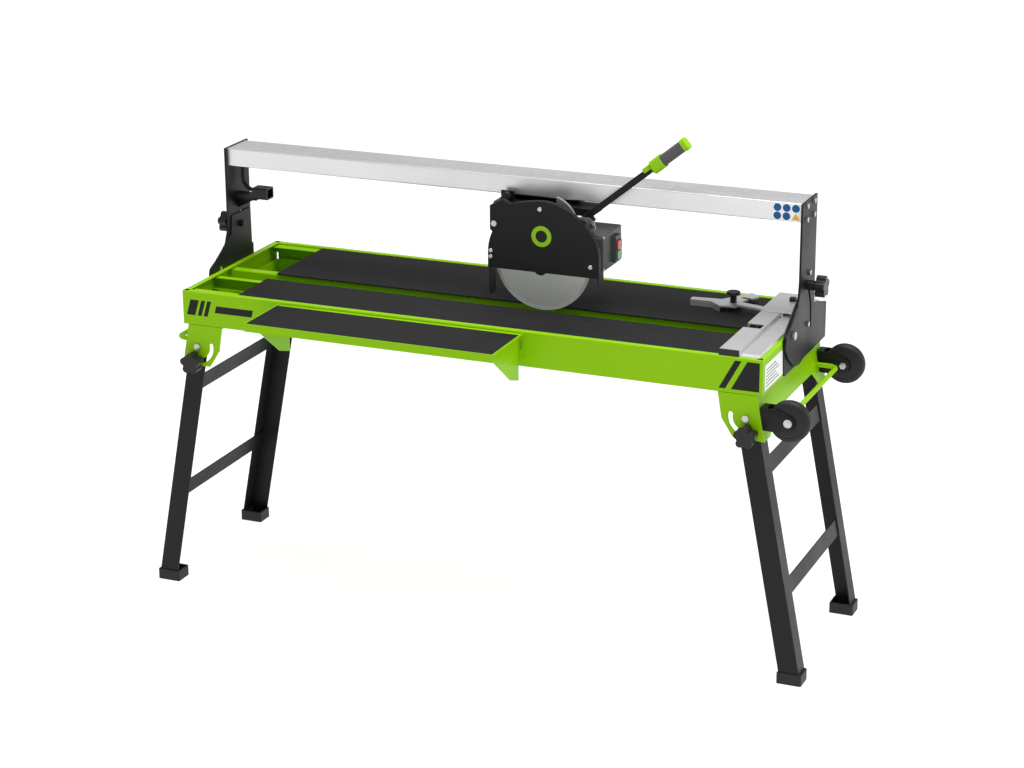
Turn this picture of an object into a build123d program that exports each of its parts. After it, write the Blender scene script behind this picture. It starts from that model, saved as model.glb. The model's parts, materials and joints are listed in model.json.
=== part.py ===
from build123d import *
from math import cos, radians, sin, sqrt, tan
import os

# Bridge tile cutter on folding legs. Millimetres, +Z up, X along the cut, -Y is the operator's side.
# The model is laid out about the middle of the table at floor level. Every part is moved by -ORIGIN_Y
# along Y as it is written, so that the written frame stands at the middle of the whole machine.

os.makedirs("parts", exist_ok=True)

# ---- driving sizes: table -------------------------------------------------------------------------
table_length = 1520.0
table_width = 500.0
table_top = 800.0          # height of the frame's top edge over the floor
side_height = 88.0
sheet = 2.0                # frame sheet steel
bend = 3.0                 # centreline radius of the frame's bends
hem_width = 15.0           # flat top edge of the frame
ledge_drop = 6.0           # step down from the top edge to the ledge that carries the panels
ledge_reach = 42.0         # from the frame's outside to the ledge's free edge
lip_width = 20.0           # bottom return of the side plates
seam_gap = 6.0             # open corner seam at the back left
seam_low, seam_high = 5.0, 57.0
panel_thickness = 1.5
mat_thickness = 3.0
mat_gap = 0.5
panel_setback = 2.0        # the panel under the mat clears the bend of the ledge
bay_length = 147.0         # open service bay at the left end
slot_width = 50.0          # between the two mats, over the blade's path
cut_y = -50.0              # plane of the blade
rail_flange = 20.0
rail_web = 30.0
rail_offset = 8.0          # mat edge to rail
tray_depth = 42.0
tray_wall = 1.5
tray_gap = 8.0
drain_radius = 12.0
drain_x, drain_y = -690.0, -150.0

# ---- driving sizes: legs --------------------------------------------------------------------------
leg_splay = 10.8           # degrees from upright
pivot_inset = 38.0         # frame end to leg pivot
pivot_drop = 56.0          # frame bottom to leg pivot
leg_width = 50.0
leg_flange = 46.0
leg_sheet = 3.0
crossbar_height = 42.0
upper_bar_drop = 131.0     # leg pivot to the middle of the upper crossbar, along the leg
lower_bar_drop = 434.0
foot_length, foot_depth, foot_height = 61.5, 52.0, 28.0
foot_floor = 6.0           # rubber under the leg's end
bracket_sheet = 3.0
bracket_length = 95.0
bracket_depth = 110.0
skirt_depth = 68.0
arc_radius = 38.0          # leg pivot to lock stud
fold_angle = 100.0
running = 0.05             # radial clearance of pins and shafts that turn
side_play = 0.5            # side gap between parts that pass each other
bolt_radius = 5.0          # M10
knob_radius = 27.0
knob_height = 24.0
knob_lobes = 5

# ---- driving sizes: ends --------------------------------------------------------------------------
wheel_radius = 50.0
wheel_width = 30.0
wheel_reach = 62.0         # frame end to axle
wheel_y = 230.0
axle_z = 655.0
carry_radius = 6.0
carry_reach = 52.0
carry_y = 195.0
carry_bend = 22.0
fork_plate = 3.0
fork_height = 34.0

# ---- driving sizes: gantry ------------------------------------------------------------------------
beam_width = 97.0
beam_height = 46.0
beam_bottom = 1059.0
beam_front = 14.0
beam_wall = 3.0
beam_rib = 2.5
beam_slot = 36.0
beam_channel = 54.0        # between the two ribs that guide the rollers
groove_count = 4
groove_width, groove_depth = 4.0, 1.2
arm_plate = 5.0
arm_front, arm_back = 4.0, 122.0
arm_over = 1.5             # arm above the beam
tilt_y, tilt_z = cut_y, 802.0
tilt_arc = 146.0
tilt_angle = 45.0
tilt_stud_angle = 40.0
tilt_plate = 3.0
tilt_knob_boss = 22.0      # hub between the arm and the clamp knob

# ---- driving sizes: cutting head ------------------------------------------------------------------
arbor_x, arbor_z = 134.0, 919.0
blade_radius = 125.0
blade_thickness = 2.2
blade_bore = 15.0
arbor_radius = 10.0
flange_radius = 28.0
head_pivot_x, head_pivot_z = 18.7, 1008.0
plunge_lift = 9.0          # degrees the head lifts from its cutting depth
guard_front = -76.0
guard_depth = 40.0
guard_lip = 14.0           # rim of the front plate; the narrower box round the blade is behind it
guard_box_radius = 129.0
guard_sheet = 2.0
guard_bottom = 895.0
casting_thickness = 8.0
clamp_recess = 3.5         # step in the casting for the handle clamp's screw heads
motor_radius = 66.0
motor_length = 88.0
motor_wall = 4.0
fan_cover_length = 34.0
shaft_radius = 8.0
handle_y = -22.0
handle_angle = 39.0
handle_length = 336.0
bar_height, bar_width = 16.0, 10.0
switch_length, switch_depth, switch_height = 76.0, 128.0, 92.0
button_travel = 3.0
carriage_plate_top = 1046.0
carriage_thickness = 8.0
roller_radius = 13.7
roller_width = 7.0
roller_pitch = 160.0
travel_left, travel_right = 690.0, 455.0

# ---- driving sizes: fence and side table ----------------------------------------------------------
fence_width, fence_height = 98.0, 15.0
fence_bar = 48.0
fence_groove = 8.0
fence_inset = 10.0         # fence's outer edge to the frame's end
fence_back = 235.0
slider_width = 46.0
slider_y = 140.0
slide_front, slide_back = -70.0, 10.0
notch_half = 16.0          # half width of the blade's notch in the fence
stop_pivot_x, stop_pivot_y = 573.0, 98.0
stop_back, stop_forward = -25.0, 30.0
side_left, side_right = -481.0, 168.0
side_depth = 186.0
side_gap = 4.0             # frame to side table
side_lip = 20.0
gusset_inset = 10.0
gusset_height = 116.0
hook_length, hook_width = 34.0, 16.0
side_lift = 150.0

# ---- derived sizes --------------------------------------------------------------------------------
half_length = table_length / 2
half_width = table_width / 2
frame_bottom = table_top - side_height
ledge_top = table_top - ledge_drop
mat_top = ledge_top + panel_thickness + mat_thickness
mat_left = -half_length + bay_length
pivot_x = half_length - pivot_inset
pivot_z = frame_bottom - pivot_drop
splay = radians(leg_splay)
bracket_y = half_width - bracket_sheet
leg_y = bracket_y - side_play
knob_reach = 38.0
beam_back = beam_front + beam_width
beam_top = beam_bottom + beam_height
beam_mid = (beam_front + beam_back) / 2
arm_x = half_length + tilt_plate + side_play
guard_back_y = guard_front + guard_depth
casting_back = guard_back_y + casting_thickness
motor_back = casting_back + motor_length
side_front = -(half_width + side_gap + side_depth)
back_reach = half_width + knob_reach
ORIGIN_Y = (side_front + back_reach) / 2


def block(x, y, z):
    """A box between the low and high value of each axis."""
    spans = (x, y, z)
    middle = [(low + high) / 2 for low, high in spans]
    return Pos(*middle) * Box(*[high - low for low, high in spans])


def shape(points, radius=0):
    """A closed outline through points, with all its corners rounded to one radius."""
    face = make_face(Polyline(*points, close=True))
    return fillet(face.vertices(), radius) if radius else face


def plate(axis, low, high, outline):
    """An outline in (y, z), (x, z) or (x, y), made solid between two values on the axis across it."""
    if axis == "x":
        plane = Plane(origin=(low, 0, 0), x_dir=(0, 1, 0), z_dir=(1, 0, 0))
    elif axis == "y":
        plane = Plane(origin=(0, high, 0), x_dir=(1, 0, 0), z_dir=(0, -1, 0))
    else:
        plane = Plane(origin=(0, 0, low))
    return extrude(plane * outline, amount=high - low)


def rod(axis, low, high, centre, radius):
    """A round bar along an axis, with its centre in the other two coordinates."""
    return plate(axis, low, high, Pos(*centre) * Circle(radius))


def hexagon(axis, low, high, centre, radius):
    """A hexagonal bolt head or nut."""
    return plate(axis, low, high, Pos(*centre) * RegularPolygon(radius, 6))


def folded(axis, low, high, points, thickness, radius):
    """Bent sheet: a bent centreline in section, drawn along an axis."""
    return plate(axis, low, high, trace(FilletPolyline(*points, radius=radius), thickness))


def arc_slot(centre, radius, start, end, half_width_):
    """Outline of a curved slot about a centre, between two angles in degrees."""
    spine = CenterArc(centre, radius, start, end - start)
    ends = [Pos(*(spine @ t)) * Circle(half_width_) for t in (0, 1)]
    return trace(spine, 2 * half_width_) + ends[0] + ends[1]


def turned(part, angle, x, z):
    """A part turned about an axis along Y through x, z."""
    return Pos(x, 0, z) * Rot(0, angle, 0) * Pos(-x, 0, -z) * part


def flipped_x(part):
    return mirror(part, about=Plane.YZ)


def flipped_y(part):
    return mirror(part, about=Plane.XZ)


def star_knob(axis, face, out, centre, stud_length, height=knob_height, radius=knob_radius, collar=6.0):
    """A lobed clamp knob whose collar meets face, standing out along out, with a threaded stud behind."""
    lobe = radius * 0.36
    grip = Circle(radius * 0.72)
    for index in range(knob_lobes):
        angle = radians(90 + index * 360 / knob_lobes)
        spot = radius - lobe
        grip += Pos(spot * cos(angle), spot * sin(angle)) * Circle(lobe)
    ends = sorted((face + out * collar, face + out * (collar + height)))
    body = plate(axis, ends[0], ends[1], Pos(*centre) * grip)
    edges = [edge for edge in body.edges() if edge.geom_type != GeomType.LINE]
    body = fillet(edges, 2.0)
    ends = sorted((face, face + out * (collar + 1)))
    body += rod(axis, ends[0], ends[1], centre, radius * 0.45)
    ends = sorted((face - out * stud_length, face + out))
    return body + rod(axis, ends[0], ends[1], centre, bolt_radius)


# ---- table ----------------------------------------------------------------------------------------
def side_section(sign):
    """Centreline of the front or back plate, seen along X."""
    half = sheet / 2
    out = half_width - half
    step = half_width - hem_width
    top = table_top - half
    ledge = ledge_top - half
    bottom = frame_bottom + half
    points = [(half_width - ledge_reach, ledge), (step, ledge), (step, top), (out, top)]
    points += [(out, bottom), (out - lip_width, bottom)]
    return [(sign * y, z) for y, z in points]


def side_plate(sign):
    part = folded("x", -half_length, half_length, side_section(sign), sheet, sheet)
    inner = half_width - sheet
    for end in (-1, 1):
        x = sorted((end * (half_length - sheet), end * (half_length + 1)))
        part -= block(x, (-inner, inner), (frame_bottom - 1, table_top - sheet))
    return part


def front_plate():
    return side_plate(-1) + hanger(side_right) + hanger(side_left + 2 * gusset_inset + hook_width)


def hanger(right_edge):
    """Pocket on the front plate that takes one hook of the side table."""
    wall = 3.0
    x0 = right_edge - gusset_inset - hook_width - side_play
    x1 = right_edge - gusset_inset + side_play
    y0 = -half_width - side_gap - sheet - side_play
    low = table_top - 70.0
    outer = block((x0 - wall, x1 + wall), (y0 - wall, -half_width), (low, low + 26))
    return outer - block((x0, x1), (y0, -half_width), (low + wall, low + 27))


def back_plate():
    part = side_plate(1)
    x = (-half_length - 1, -half_length + seam_gap)
    z = (frame_bottom + seam_low, frame_bottom + seam_high)
    return part - block(x, (half_width - sheet - 1, half_width + 1), z)


def end_plates():
    half = sheet / 2
    out = half_length - half
    points = [(out - hem_width, table_top - half), (out, table_top - half)]
    points += [(out, frame_bottom + half), (out - lip_width, frame_bottom + half)]
    right = folded("y", -half_width, half_width, points, sheet, sheet)
    for side in (side_plate(-1), side_plate(1)):
        right -= side
    for sign in (-1, 1):
        corner = sorted((sign * (half_width - sheet), sign * (half_width + 1)))
        right -= block((0, half_length + 1), corner, (frame_bottom - 1, table_top + 1))
        lip = sorted((sign * (half_width - lip_width - 2 * sheet), sign * half_width))
        right -= block((0, half_length - sheet), lip, (frame_bottom - 1, frame_bottom + sheet))
    return right + flipped_x(right)


def slot_rails():
    """The two rails beside the blade's path, which carry the panels' inner edges."""
    half = sheet / 2
    rails = []
    for sign in (-1, 1):
        web = cut_y + sign * (slot_width / 2 + rail_offset)
        far = web + sign * rail_flange
        top = ledge_top - half
        points = [(far, top), (web, top), (web, top - rail_web), (far, top - rail_web)]
        rails.append(folded("x", -half_length + sheet, half_length - sheet, points, sheet, bend))
    return rails


def panel_spans():
    """Y spans of the front and back table panels."""
    edge = half_width - hem_width - sheet / 2 - mat_gap
    near = slot_width / 2
    return [(-edge, cut_y - near), (cut_y + near, edge)]


def panel_right():
    return half_length - hem_width - sheet - mat_gap


def table_panels():
    parts = []
    for low, high in panel_spans():
        inward = (panel_setback, rail_offset) if high < 0 else (rail_offset, panel_setback)
        y = (low + inward[0], high - inward[1])
        parts.append(block((mat_left, panel_right()), y, (ledge_top, ledge_top + panel_thickness)))
    return parts


def table_mats():
    low = ledge_top + panel_thickness
    return [block((mat_left, panel_right()), span, (low, mat_top)) for span in panel_spans()]


def water_tray():
    x = half_length - sheet - tray_gap
    y = half_width - sheet - tray_gap
    low = frame_bottom + sheet
    outer = block((-x, x), (-y, y), (low, low + tray_depth))
    outer = fillet(outer.edges().filter_by(Axis.Z), 20)
    inner = block((-x + tray_wall, x - tray_wall), (-y + tray_wall, y - tray_wall),
                  (low + tray_wall, low + tray_depth + 1))
    inner = fillet(inner.edges().filter_by(Axis.Z), 20 - tray_wall)
    drain = rod("z", low - 1, low + tray_wall + 1, (drain_x, drain_y), drain_radius)
    return outer - inner - drain


def drain_plug():
    low = frame_bottom + sheet
    stem = rod("z", low - 6, low + tray_wall, (drain_x, drain_y), drain_radius)
    head = rod("z", low + tray_wall, low + tray_wall + 5, (drain_x, drain_y), drain_radius + 5)
    return stem + fillet(head.edges().group_by(Axis.Z)[-1], 2)


# ---- leg carriers, legs and feet ------------------------------------------------------------------
def skirt_x(z):
    """Outside of the slanted end skirt at height z, on the right."""
    return half_length - 13.0 + (frame_bottom - z) * tan(splay)


def inside_of_skirt(extra=0.0):
    """Everything on the table's side of the right skirt's outer face."""
    low = frame_bottom - 2 * bracket_depth
    points = [(0, frame_bottom), (skirt_x(frame_bottom) + extra, frame_bottom)]
    points += [(skirt_x(low) + extra, low), (0, low)]
    return plate("y", -half_width - 60, half_width + 60, shape(points))


def leg_bracket():
    """Front right bracket plate, with the arc slot for the lock stud and a top flange."""
    low = frame_bottom - bracket_depth
    inner = skirt_x(frame_bottom) - bracket_length
    points = [(inner, frame_bottom), (skirt_x(frame_bottom), frame_bottom), (skirt_x(low), low)]
    points += [(inner + 38, low + 4), (inner + 10, low + 48)]
    outline = shape(points)
    outline -= Pos(pivot_x, pivot_z) * Circle(bolt_radius + running)
    start = 180 - 9
    end = 180 + 90 + leg_splay + 8
    outline -= arc_slot((pivot_x, pivot_z), arc_radius, start, end, bolt_radius + side_play)
    part = plate("y", -half_width, -bracket_y, outline)
    flange = block((inner, skirt_x(frame_bottom) - 2 * bracket_sheet), (-bracket_y, -bracket_y + 26),
                   (frame_bottom - bracket_sheet, frame_bottom))
    return part + flange


def leg_carriers():
    """Each end's two leg brackets and the skirt that joins them, one welding."""
    low = frame_bottom - bracket_depth
    arch = frame_bottom - skirt_depth
    tab = half_width - 48
    points = [(-half_width, frame_bottom), (half_width, frame_bottom), (half_width, low), (tab, low)]
    points += [(tab - 45, arch), (-tab + 45, arch), (-tab, low), (-half_width, low)]
    skirt = plate("x", 0, half_length * 1.2, shape(points))
    skirt &= inside_of_skirt() - inside_of_skirt(-bracket_sheet / cos(splay))
    right = skirt + leg_bracket() + flipped_y(leg_bracket())
    return [right, flipped_x(right)]


def leg():
    """Front right leg, an angle section, upright under its pivot at the origin."""
    drop = (pivot_z + 50) / cos(splay)
    half = leg_width / 2
    web = block((-half, half), (-leg_y, -leg_y + leg_sheet), (-drop, 0))
    web += rod("y", -leg_y, -leg_y + leg_sheet, (0, 0), half)
    outer = block((half - leg_sheet, half), (-leg_y, -leg_y + leg_flange), (-drop, -12))
    part = web + outer
    for spot in (0, -arc_radius):
        part -= rod("y", -leg_y - 1, -leg_y + leg_sheet + 1, (0, spot), bolt_radius + running)
    return part


def crossbar(drop):
    half = leg_width / 2
    inner = half - leg_sheet
    reach = leg_y - leg_sheet
    z = (-drop - crossbar_height / 2, -drop + crossbar_height / 2)
    return block((inner - leg_sheet, inner), (-reach, reach), z)


def stand(part):
    """Leg coordinates to the right-hand leg's place."""
    return Pos(pivot_x, 0, pivot_z) * Rot(0, -leg_splay, 0) * part


def leg_frame_right():
    floor = block((0, half_length * 1.5), (-half_width, half_width), (-100, foot_floor))
    front = stand(leg()) - floor
    nut = stand(hexagon("y", -leg_y + leg_sheet, -leg_y + leg_sheet + 8, (0, -arc_radius), 9))
    nut -= stand(rod("y", -leg_y, -leg_y + leg_sheet + 9, (0, -arc_radius), bolt_radius + running))
    bars = [stand(crossbar(upper_bar_drop)), stand(crossbar(lower_bar_drop))]
    return [front, flipped_y(front), *bars, nut, flipped_y(nut)]


def feet_right():
    inner = pivot_x + (pivot_z - foot_height) * tan(splay) - leg_width / 2 / cos(splay) - 4.0
    body = block((inner, inner + foot_length), (-half_width, -half_width + foot_depth), (0, foot_height))
    body = fillet(body.edges().filter_by(Axis.Z), 4)
    body = fillet(body.edges().group_by(Axis.Z)[-1], 2)
    pocket = block((inner + 4, inner + foot_length - 14),
                   (-leg_y + leg_sheet, -half_width + foot_depth - 4), (foot_floor, foot_height + 1))
    keep = stand(leg()) + stand(Pos(0, 0, 0) * block((leg_width / 2 - 12, leg_width / 2),
                                                     (-leg_y, -leg_y + leg_flange), (-800, -20)))
    body -= pocket - keep
    body -= stand(leg()) - block((0, 2000), (-300, 300), (-100, foot_floor))
    return [body, flipped_y(body)]


def pivot_bolts():
    """Leg pivots, wheel axles and gantry pivots: heads, shanks and nuts."""
    bolts = []
    shank = (-half_width - 6, -leg_y + leg_sheet + side_play)
    leg_bolt = rod("y", shank[0], shank[1] + 8, (pivot_x, pivot_z), bolt_radius)
    leg_bolt += hexagon("y", -half_width - 7, -half_width, (pivot_x, pivot_z), 9)
    leg_bolt += hexagon("y", shank[1], shank[1] + 8, (pivot_x, pivot_z), 9)
    for part in (leg_bolt, flipped_y(leg_bolt)):
        bolts += [part, flipped_x(part)]
    centre = (half_length + wheel_reach, axle_z)
    for sign in (-1, 1):
        inner = sign * (wheel_y - wheel_width / 2 - side_play - fork_plate)
        outer = sign * (wheel_y + wheel_width / 2 + side_play)
        span = sorted((inner - sign * 7, outer + sign * 7))
        axle = rod("y", *span, centre, bolt_radius)
        axle += hexagon("y", *sorted((inner - sign * 7, inner)), centre, 9)
        axle += rod("y", *sorted((outer, outer + sign * 6)), centre, 10)
        bolts.append(axle)
    pin = rod("x", half_length - sheet - 8, arm_x + arm_plate + side_play, (tilt_y, tilt_z - 0), 6.0)
    pin += hexagon("x", arm_x + arm_plate + side_play, arm_x + arm_plate + side_play + 7, (tilt_y, tilt_z), 11)
    pin -= block((0, half_length), (-half_width, half_width), (0, table_top + 20))
    bolts += [pin, flipped_x(pin)]
    return bolts


# ---- wheels and carry bars ------------------------------------------------------------------------
def wheel(sign):
    low = sign * wheel_y - wheel_width / 2
    centre = (half_length + wheel_reach, axle_z)
    body = rod("y", low, low + wheel_width, centre, wheel_radius)
    body = fillet(body.edges(), wheel_width * 0.3)
    for face in (low, low + wheel_width):
        body -= rod("y", face - 4, face + 4, centre, 16) - rod("y", face - 4, face + 4, centre, 12)
    return body - rod("y", low - 1, low + wheel_width + 1, centre, bolt_radius + running)


def wheel_brackets():
    """A plate beside each wheel, on the right skirt."""
    plates = []
    x = (half_length - 60, half_length + wheel_reach + 16)
    for sign in (-1, 1):
        face = sign * (wheel_y - wheel_width / 2 - side_play)
        y = sorted((face, face - sign * fork_plate))
        part = block(x, y, (axle_z - fork_height / 2, axle_z + fork_height / 2))
        part = fillet(part.edges().filter_by(Axis.Y).group_by(Axis.X)[-1], fork_height * 0.4)
        part -= rod("y", y[0] - 1, y[1] + 1, (half_length + wheel_reach, axle_z), bolt_radius)
        part -= inside_of_skirt()
        plates.append(part)
    return plates


def carry_bar():
    start = half_length - 40
    out = half_length + carry_reach
    path = FilletPolyline((start, -carry_y, axle_z), (out, -carry_y, axle_z), (out, carry_y, axle_z),
                          (start, carry_y, axle_z), radius=carry_bend)
    ring = Plane(origin=(start, -carry_y, axle_z), z_dir=(1, 0, 0)) * Circle(carry_radius)
    return sweep(ring, path=path) - inside_of_skirt()


# ---- gantry ---------------------------------------------------------------------------------------
def tilt_stud():
    angle = radians(tilt_stud_angle)
    return (tilt_y + tilt_arc * cos(angle), tilt_z + tilt_arc * sin(angle))


def tilt_brackets():
    """Fixed plates on the table's ends that carry the gantry's pivot and clamp stud."""
    stud = tilt_stud()
    low = frame_bottom
    points = [(-92, low), (half_width, low), (half_width, table_top + 3), (173, table_top + 24)]
    points += [(arm_back - 4, table_top + 28), (arm_back - 6, stud[1] + 30), (stud[0] - 44, stud[1] + 30)]
    points += [(arm_front + 6, table_top + 78), (-84, table_top + 24), (-104, table_top + 4)]
    outline = shape(points, 6)
    part = plate("x", half_length, half_length + tilt_plate, outline)
    part -= rod("x", half_length - 1, half_length + tilt_plate + 1, (tilt_y, tilt_z), 6.0)
    nut = hexagon("x", half_length - 8, half_length, stud, 9)
    part += nut
    part -= rod("x", half_length - 9, half_length + tilt_plate + 1, stud, bolt_radius + running)
    left = flipped_x(part)
    left -= block((-half_length - tilt_plate - 1, -half_length), (arm_back + 3, half_width + 1),
                  (table_top - 2, table_top + 100))
    return [part, left]


def arm_outline():
    top = beam_top + arm_over
    points = [(arm_front, top), (arm_back, top), (arm_back, 757), (93, 724), (12, 712), (-28, 718)]
    points += [(-78, 752), (-103, 782), (-98, 812), (-54, 831), (-13, 858), (arm_front, 896)]
    outline = shape(points)
    corners = outline.vertices().sort_by(Axis.Y)[:-2]
    outline = fillet(corners, 14)
    outline -= Pos(tilt_y, tilt_z) * Circle(6.0 + running)
    start = tilt_stud_angle + 1.5
    end = tilt_stud_angle - tilt_angle - 1.5
    slot = arc_slot((tilt_y, tilt_z), tilt_arc, start, end, bolt_radius + side_play)
    return outline - slot


def beam_bolt_spots():
    inset = 20.0
    rows = (beam_top - 9, beam_bottom + 4)
    return [(y, z) for y in (beam_front + inset, beam_back - inset) for z in rows]


def arm():
    part = plate("x", arm_x, arm_x + arm_plate, arm_outline())
    for spot in beam_bolt_spots():
        part -= rod("x", arm_x - 1, arm_x + arm_plate + 1, spot, 4.0)
    for spot in guide_bolt_spots():
        part -= rod("x", arm_x - 1, arm_x + arm_plate + 1, spot, 4.0)
    return part


def guide_bolt_spots():
    return [(70, 925), (68, 797)]


def arm_left():
    """Left arm with the welded shelf that carries the mains inlet."""
    part = flipped_x(arm())
    x = (-arm_x, -arm_x + 60)
    shelf = block(x, (beam_mid - 16, beam_mid + 16), (inlet_low - 4, inlet_low))
    brace = plate("y", beam_mid - 2, beam_mid + 2,
                  shape([(-arm_x, inlet_low - 4), (-arm_x + 50, inlet_low - 4), (-arm_x, inlet_low - 30)]))
    return part + shelf + brace


def arm_bolts():
    """Bolts that hold the arms to the beam, and the guide bolts that press the arms to their brackets."""
    bolts = []
    head = arm_x + arm_plate
    for spot in beam_bolt_spots() + guide_bolt_spots():
        bolt = rod("x", arm_x, head + 1, spot, 4.0) + hexagon("x", head, head + 5, spot, 7)
        bolts += [bolt, flipped_x(bolt)]
    return bolts


def beam():
    """Hollow aluminium extrusion, open below along its middle for the carriage."""
    low, high = beam_bottom, beam_top
    outline = shape([(beam_front, low), (beam_back, low), (beam_back, high), (beam_front, high)], 2.5)
    half_channel = beam_channel / 2
    inner = (low + beam_wall, high - beam_wall)

    def window(left, right, bottom, top):
        return shape([(left, bottom), (right, bottom), (right, top), (left, top)])

    outline -= window(beam_mid - half_channel, beam_mid + half_channel, *inner)
    outline -= window(beam_mid - beam_slot / 2, beam_mid + beam_slot / 2, low - 1, low + beam_wall + 1)
    side = half_channel + beam_rib
    outline -= window(beam_front + beam_wall, beam_mid - side, *inner)
    outline -= window(beam_mid + side, beam_back - beam_wall, *inner)
    pitch = beam_width / (groove_count + 1)
    for index in range(groove_count):
        y = beam_front + pitch * (index + 1)
        outline -= window(y - groove_width / 2, y + groove_width / 2, high - groove_depth, high + 1)
    return plate("x", -arm_x, arm_x, outline)


# ---- mains inlet ----------------------------------------------------------------------------------
inlet_low = 968.0
inlet_size = (42.0, 36.0, 30.0)
inlet_x = -713.0
cable_x, cable_radius = -748.0, 5.0
cable_bend = 32.0
cable_inside = 16.0        # length of the lead above the beam's underside


def inlet_box():
    """Appliance inlet: a hooded box, open towards the middle, with its pins inside."""
    x0 = inlet_x
    x1 = inlet_x + inlet_size[0]
    y0 = beam_mid - inlet_size[1] / 2
    y1 = beam_mid + inlet_size[1] / 2
    z1 = inlet_low + inlet_size[2]
    part = fillet(block((x0, x1), (y0, y1), (inlet_low, z1)).edges().filter_by(Axis.X), 4)
    part -= block((x0 + 14, x1 + 1), (y0 + 4, y1 - 4), (inlet_low + 4, z1 - 4))
    foot = block((-arm_x, x0), (beam_mid - 16, beam_mid + 16), (inlet_low, inlet_low + 10))
    part += foot
    for index in (-1, 0, 1):
        spot = (beam_mid + index * 8, inlet_low + inlet_size[2] / 2)
        part += rod("x", x0 + 13, x0 + 32, spot, 2.5)
    return part


def inlet_cable():
    """Short lead from the beam's underside into the back of the inlet."""
    z = inlet_low + inlet_size[2] * 0.65
    y = beam_mid
    end = (inlet_x, y, z)
    start = (cable_x, y, beam_bottom + cable_inside)
    path = FilletPolyline(start, (cable_x, y, z), end, radius=cable_bend)
    ring = Plane(origin=start, z_dir=(0, 0, -1)) * Circle(cable_radius)
    return sweep(ring, path=path)


# ---- carriage -------------------------------------------------------------------------------------
carriage_left, carriage_step, carriage_right = -8.0, 112.0, 188.0
neck_width = 24.0
roller_z = beam_bottom + beam_wall + roller_radius + 0.3
roller_spots = (arbor_x - 121.0, arbor_x - 121.0 + roller_pitch)
axle_radius = 4.0
cheek_y = (casting_back + side_play, casting_back + side_play + 8.0)


def carriage():
    """Carriage plate under the beam, its neck inside the slot, and the cheek of the head's hinge."""
    low = carriage_plate_top - carriage_thickness
    body = block((carriage_left, carriage_step), (cheek_y[0], beam_back - 4), (low, carriage_plate_top))
    body = fillet(body.edges().filter_by(Axis.Z), 8)
    body += block((carriage_step - 10, carriage_right), (beam_mid - 22, beam_back - 4), (low, carriage_plate_top))
    body += block((carriage_right - 8, carriage_right + 57), (-8, beam_mid - 2), (low - 10, carriage_plate_top))
    neck = block((carriage_left + 4, carriage_right - 4), (beam_mid - neck_width / 2, beam_mid + neck_width / 2),
                 (low, roller_z + 9))
    points = [(-2, low + 4), (-2, head_pivot_z - 14), (8, head_pivot_z - 24), (32, head_pivot_z - 24)]
    points += [(64, low - 4), (64, low + 4)]
    cheek = plate("y", *cheek_y, shape(points))
    tab = block((6, 40), (-6, -1), (carriage_plate_top - 1, carriage_plate_top + 26))
    part = body + neck + cheek + tab
    for x in roller_spots:
        part -= rod("y", beam_mid - 50, beam_mid + 50, (x, roller_z), axle_radius + running)
    pivot = (head_pivot_x, head_pivot_z)
    part -= rod("y", cheek_y[0] - 1, cheek_y[1] + 1, pivot, 6.0)
    part -= rod("y", -20, 5, depth_knob_spot(), bolt_radius + running)
    return part


def depth_knob_spot():
    return (24.0, carriage_plate_top + 14.0)


def depth_knob():
    """Round knob of the depth stop."""
    spot = depth_knob_spot()
    face = -6.4
    knob = fillet(rod("y", face - 13, face, spot, 11).edges(), 2)
    return knob + rod("y", face - 1, 6, spot, bolt_radius)


def rollers(x):
    """Two rollers on one axle, running inside the beam."""
    reach = beam_channel / 2 - side_play
    part = rod("y", beam_mid - reach, beam_mid + reach, (x, roller_z), axle_radius)
    for sign in (-1, 1):
        outer = beam_mid + sign * (reach - 0.5)
        span = sorted((outer, outer - sign * roller_width))
        part += rod("y", *span, (x, roller_z), roller_radius)
    return part


def hinge_pin():
    """Bolt through guard, casting and cheek that the head turns on."""
    spot = (head_pivot_x, head_pivot_z)
    pin = rod("y", guard_front - 6, cheek_y[1] + 8, spot, 6.0)
    pin += hexagon("y", guard_front - 6.5, guard_front - side_play, spot, 8)
    return pin + hexagon("y", cheek_y[1], cheek_y[1] + 8, spot, 10)


# ---- cutting head ---------------------------------------------------------------------------------
def guard_outline(shrink=0.0):
    """Side view of the guard: an ear at the hinge, a round crown, a straight foot."""
    left = Line((0, guard_bottom), (0, 930))
    corner = ThreePointArc(left @ 1, (3, 960), (12, 986))
    ear = Polyline(corner @ 1, (6, 992), (6, 1051), (38, 1069), (60, 1058))
    crown = ThreePointArc(ear @ 1, (100, 1068), (150, 1073))
    right = ThreePointArc(crown @ 1, (236, 1037), (286, 970))
    foot = Polyline(right @ 1, (290, 949), (290, guard_bottom), (0, guard_bottom))
    face = make_face([left, corner, ear, crown, right, foot])
    return offset(face, amount=-shrink) if shrink else face


def guard_cover():
    """Front of the blade guard: a shallow dished plate, open below and behind."""
    rim = guard_front + guard_lip
    outer = plate("y", guard_front, rim, guard_outline())
    inner = plate("y", guard_front + guard_sheet, rim + 1, guard_outline(guard_sheet))
    inner += block((guard_sheet, 288), (guard_front + guard_sheet, rim + 1), (guard_bottom - 1, guard_bottom + 6))
    part = outer - inner
    part += rod("y", guard_front, guard_front + guard_sheet, (arbor_x + 4, guard_bottom + 10), 17)
    part -= rod("y", guard_front - 1, 0, (head_pivot_x, head_pivot_z), 6.0 + running)
    for spot in guard_bolt_spots():
        part -= rod("y", guard_front - 1, guard_front + guard_sheet + 1, spot, 3.0)
    return part


def guard_bolt_spots():
    return [(137, 1053), (8, 938), (7.5, 923), (268, 922)]


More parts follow.
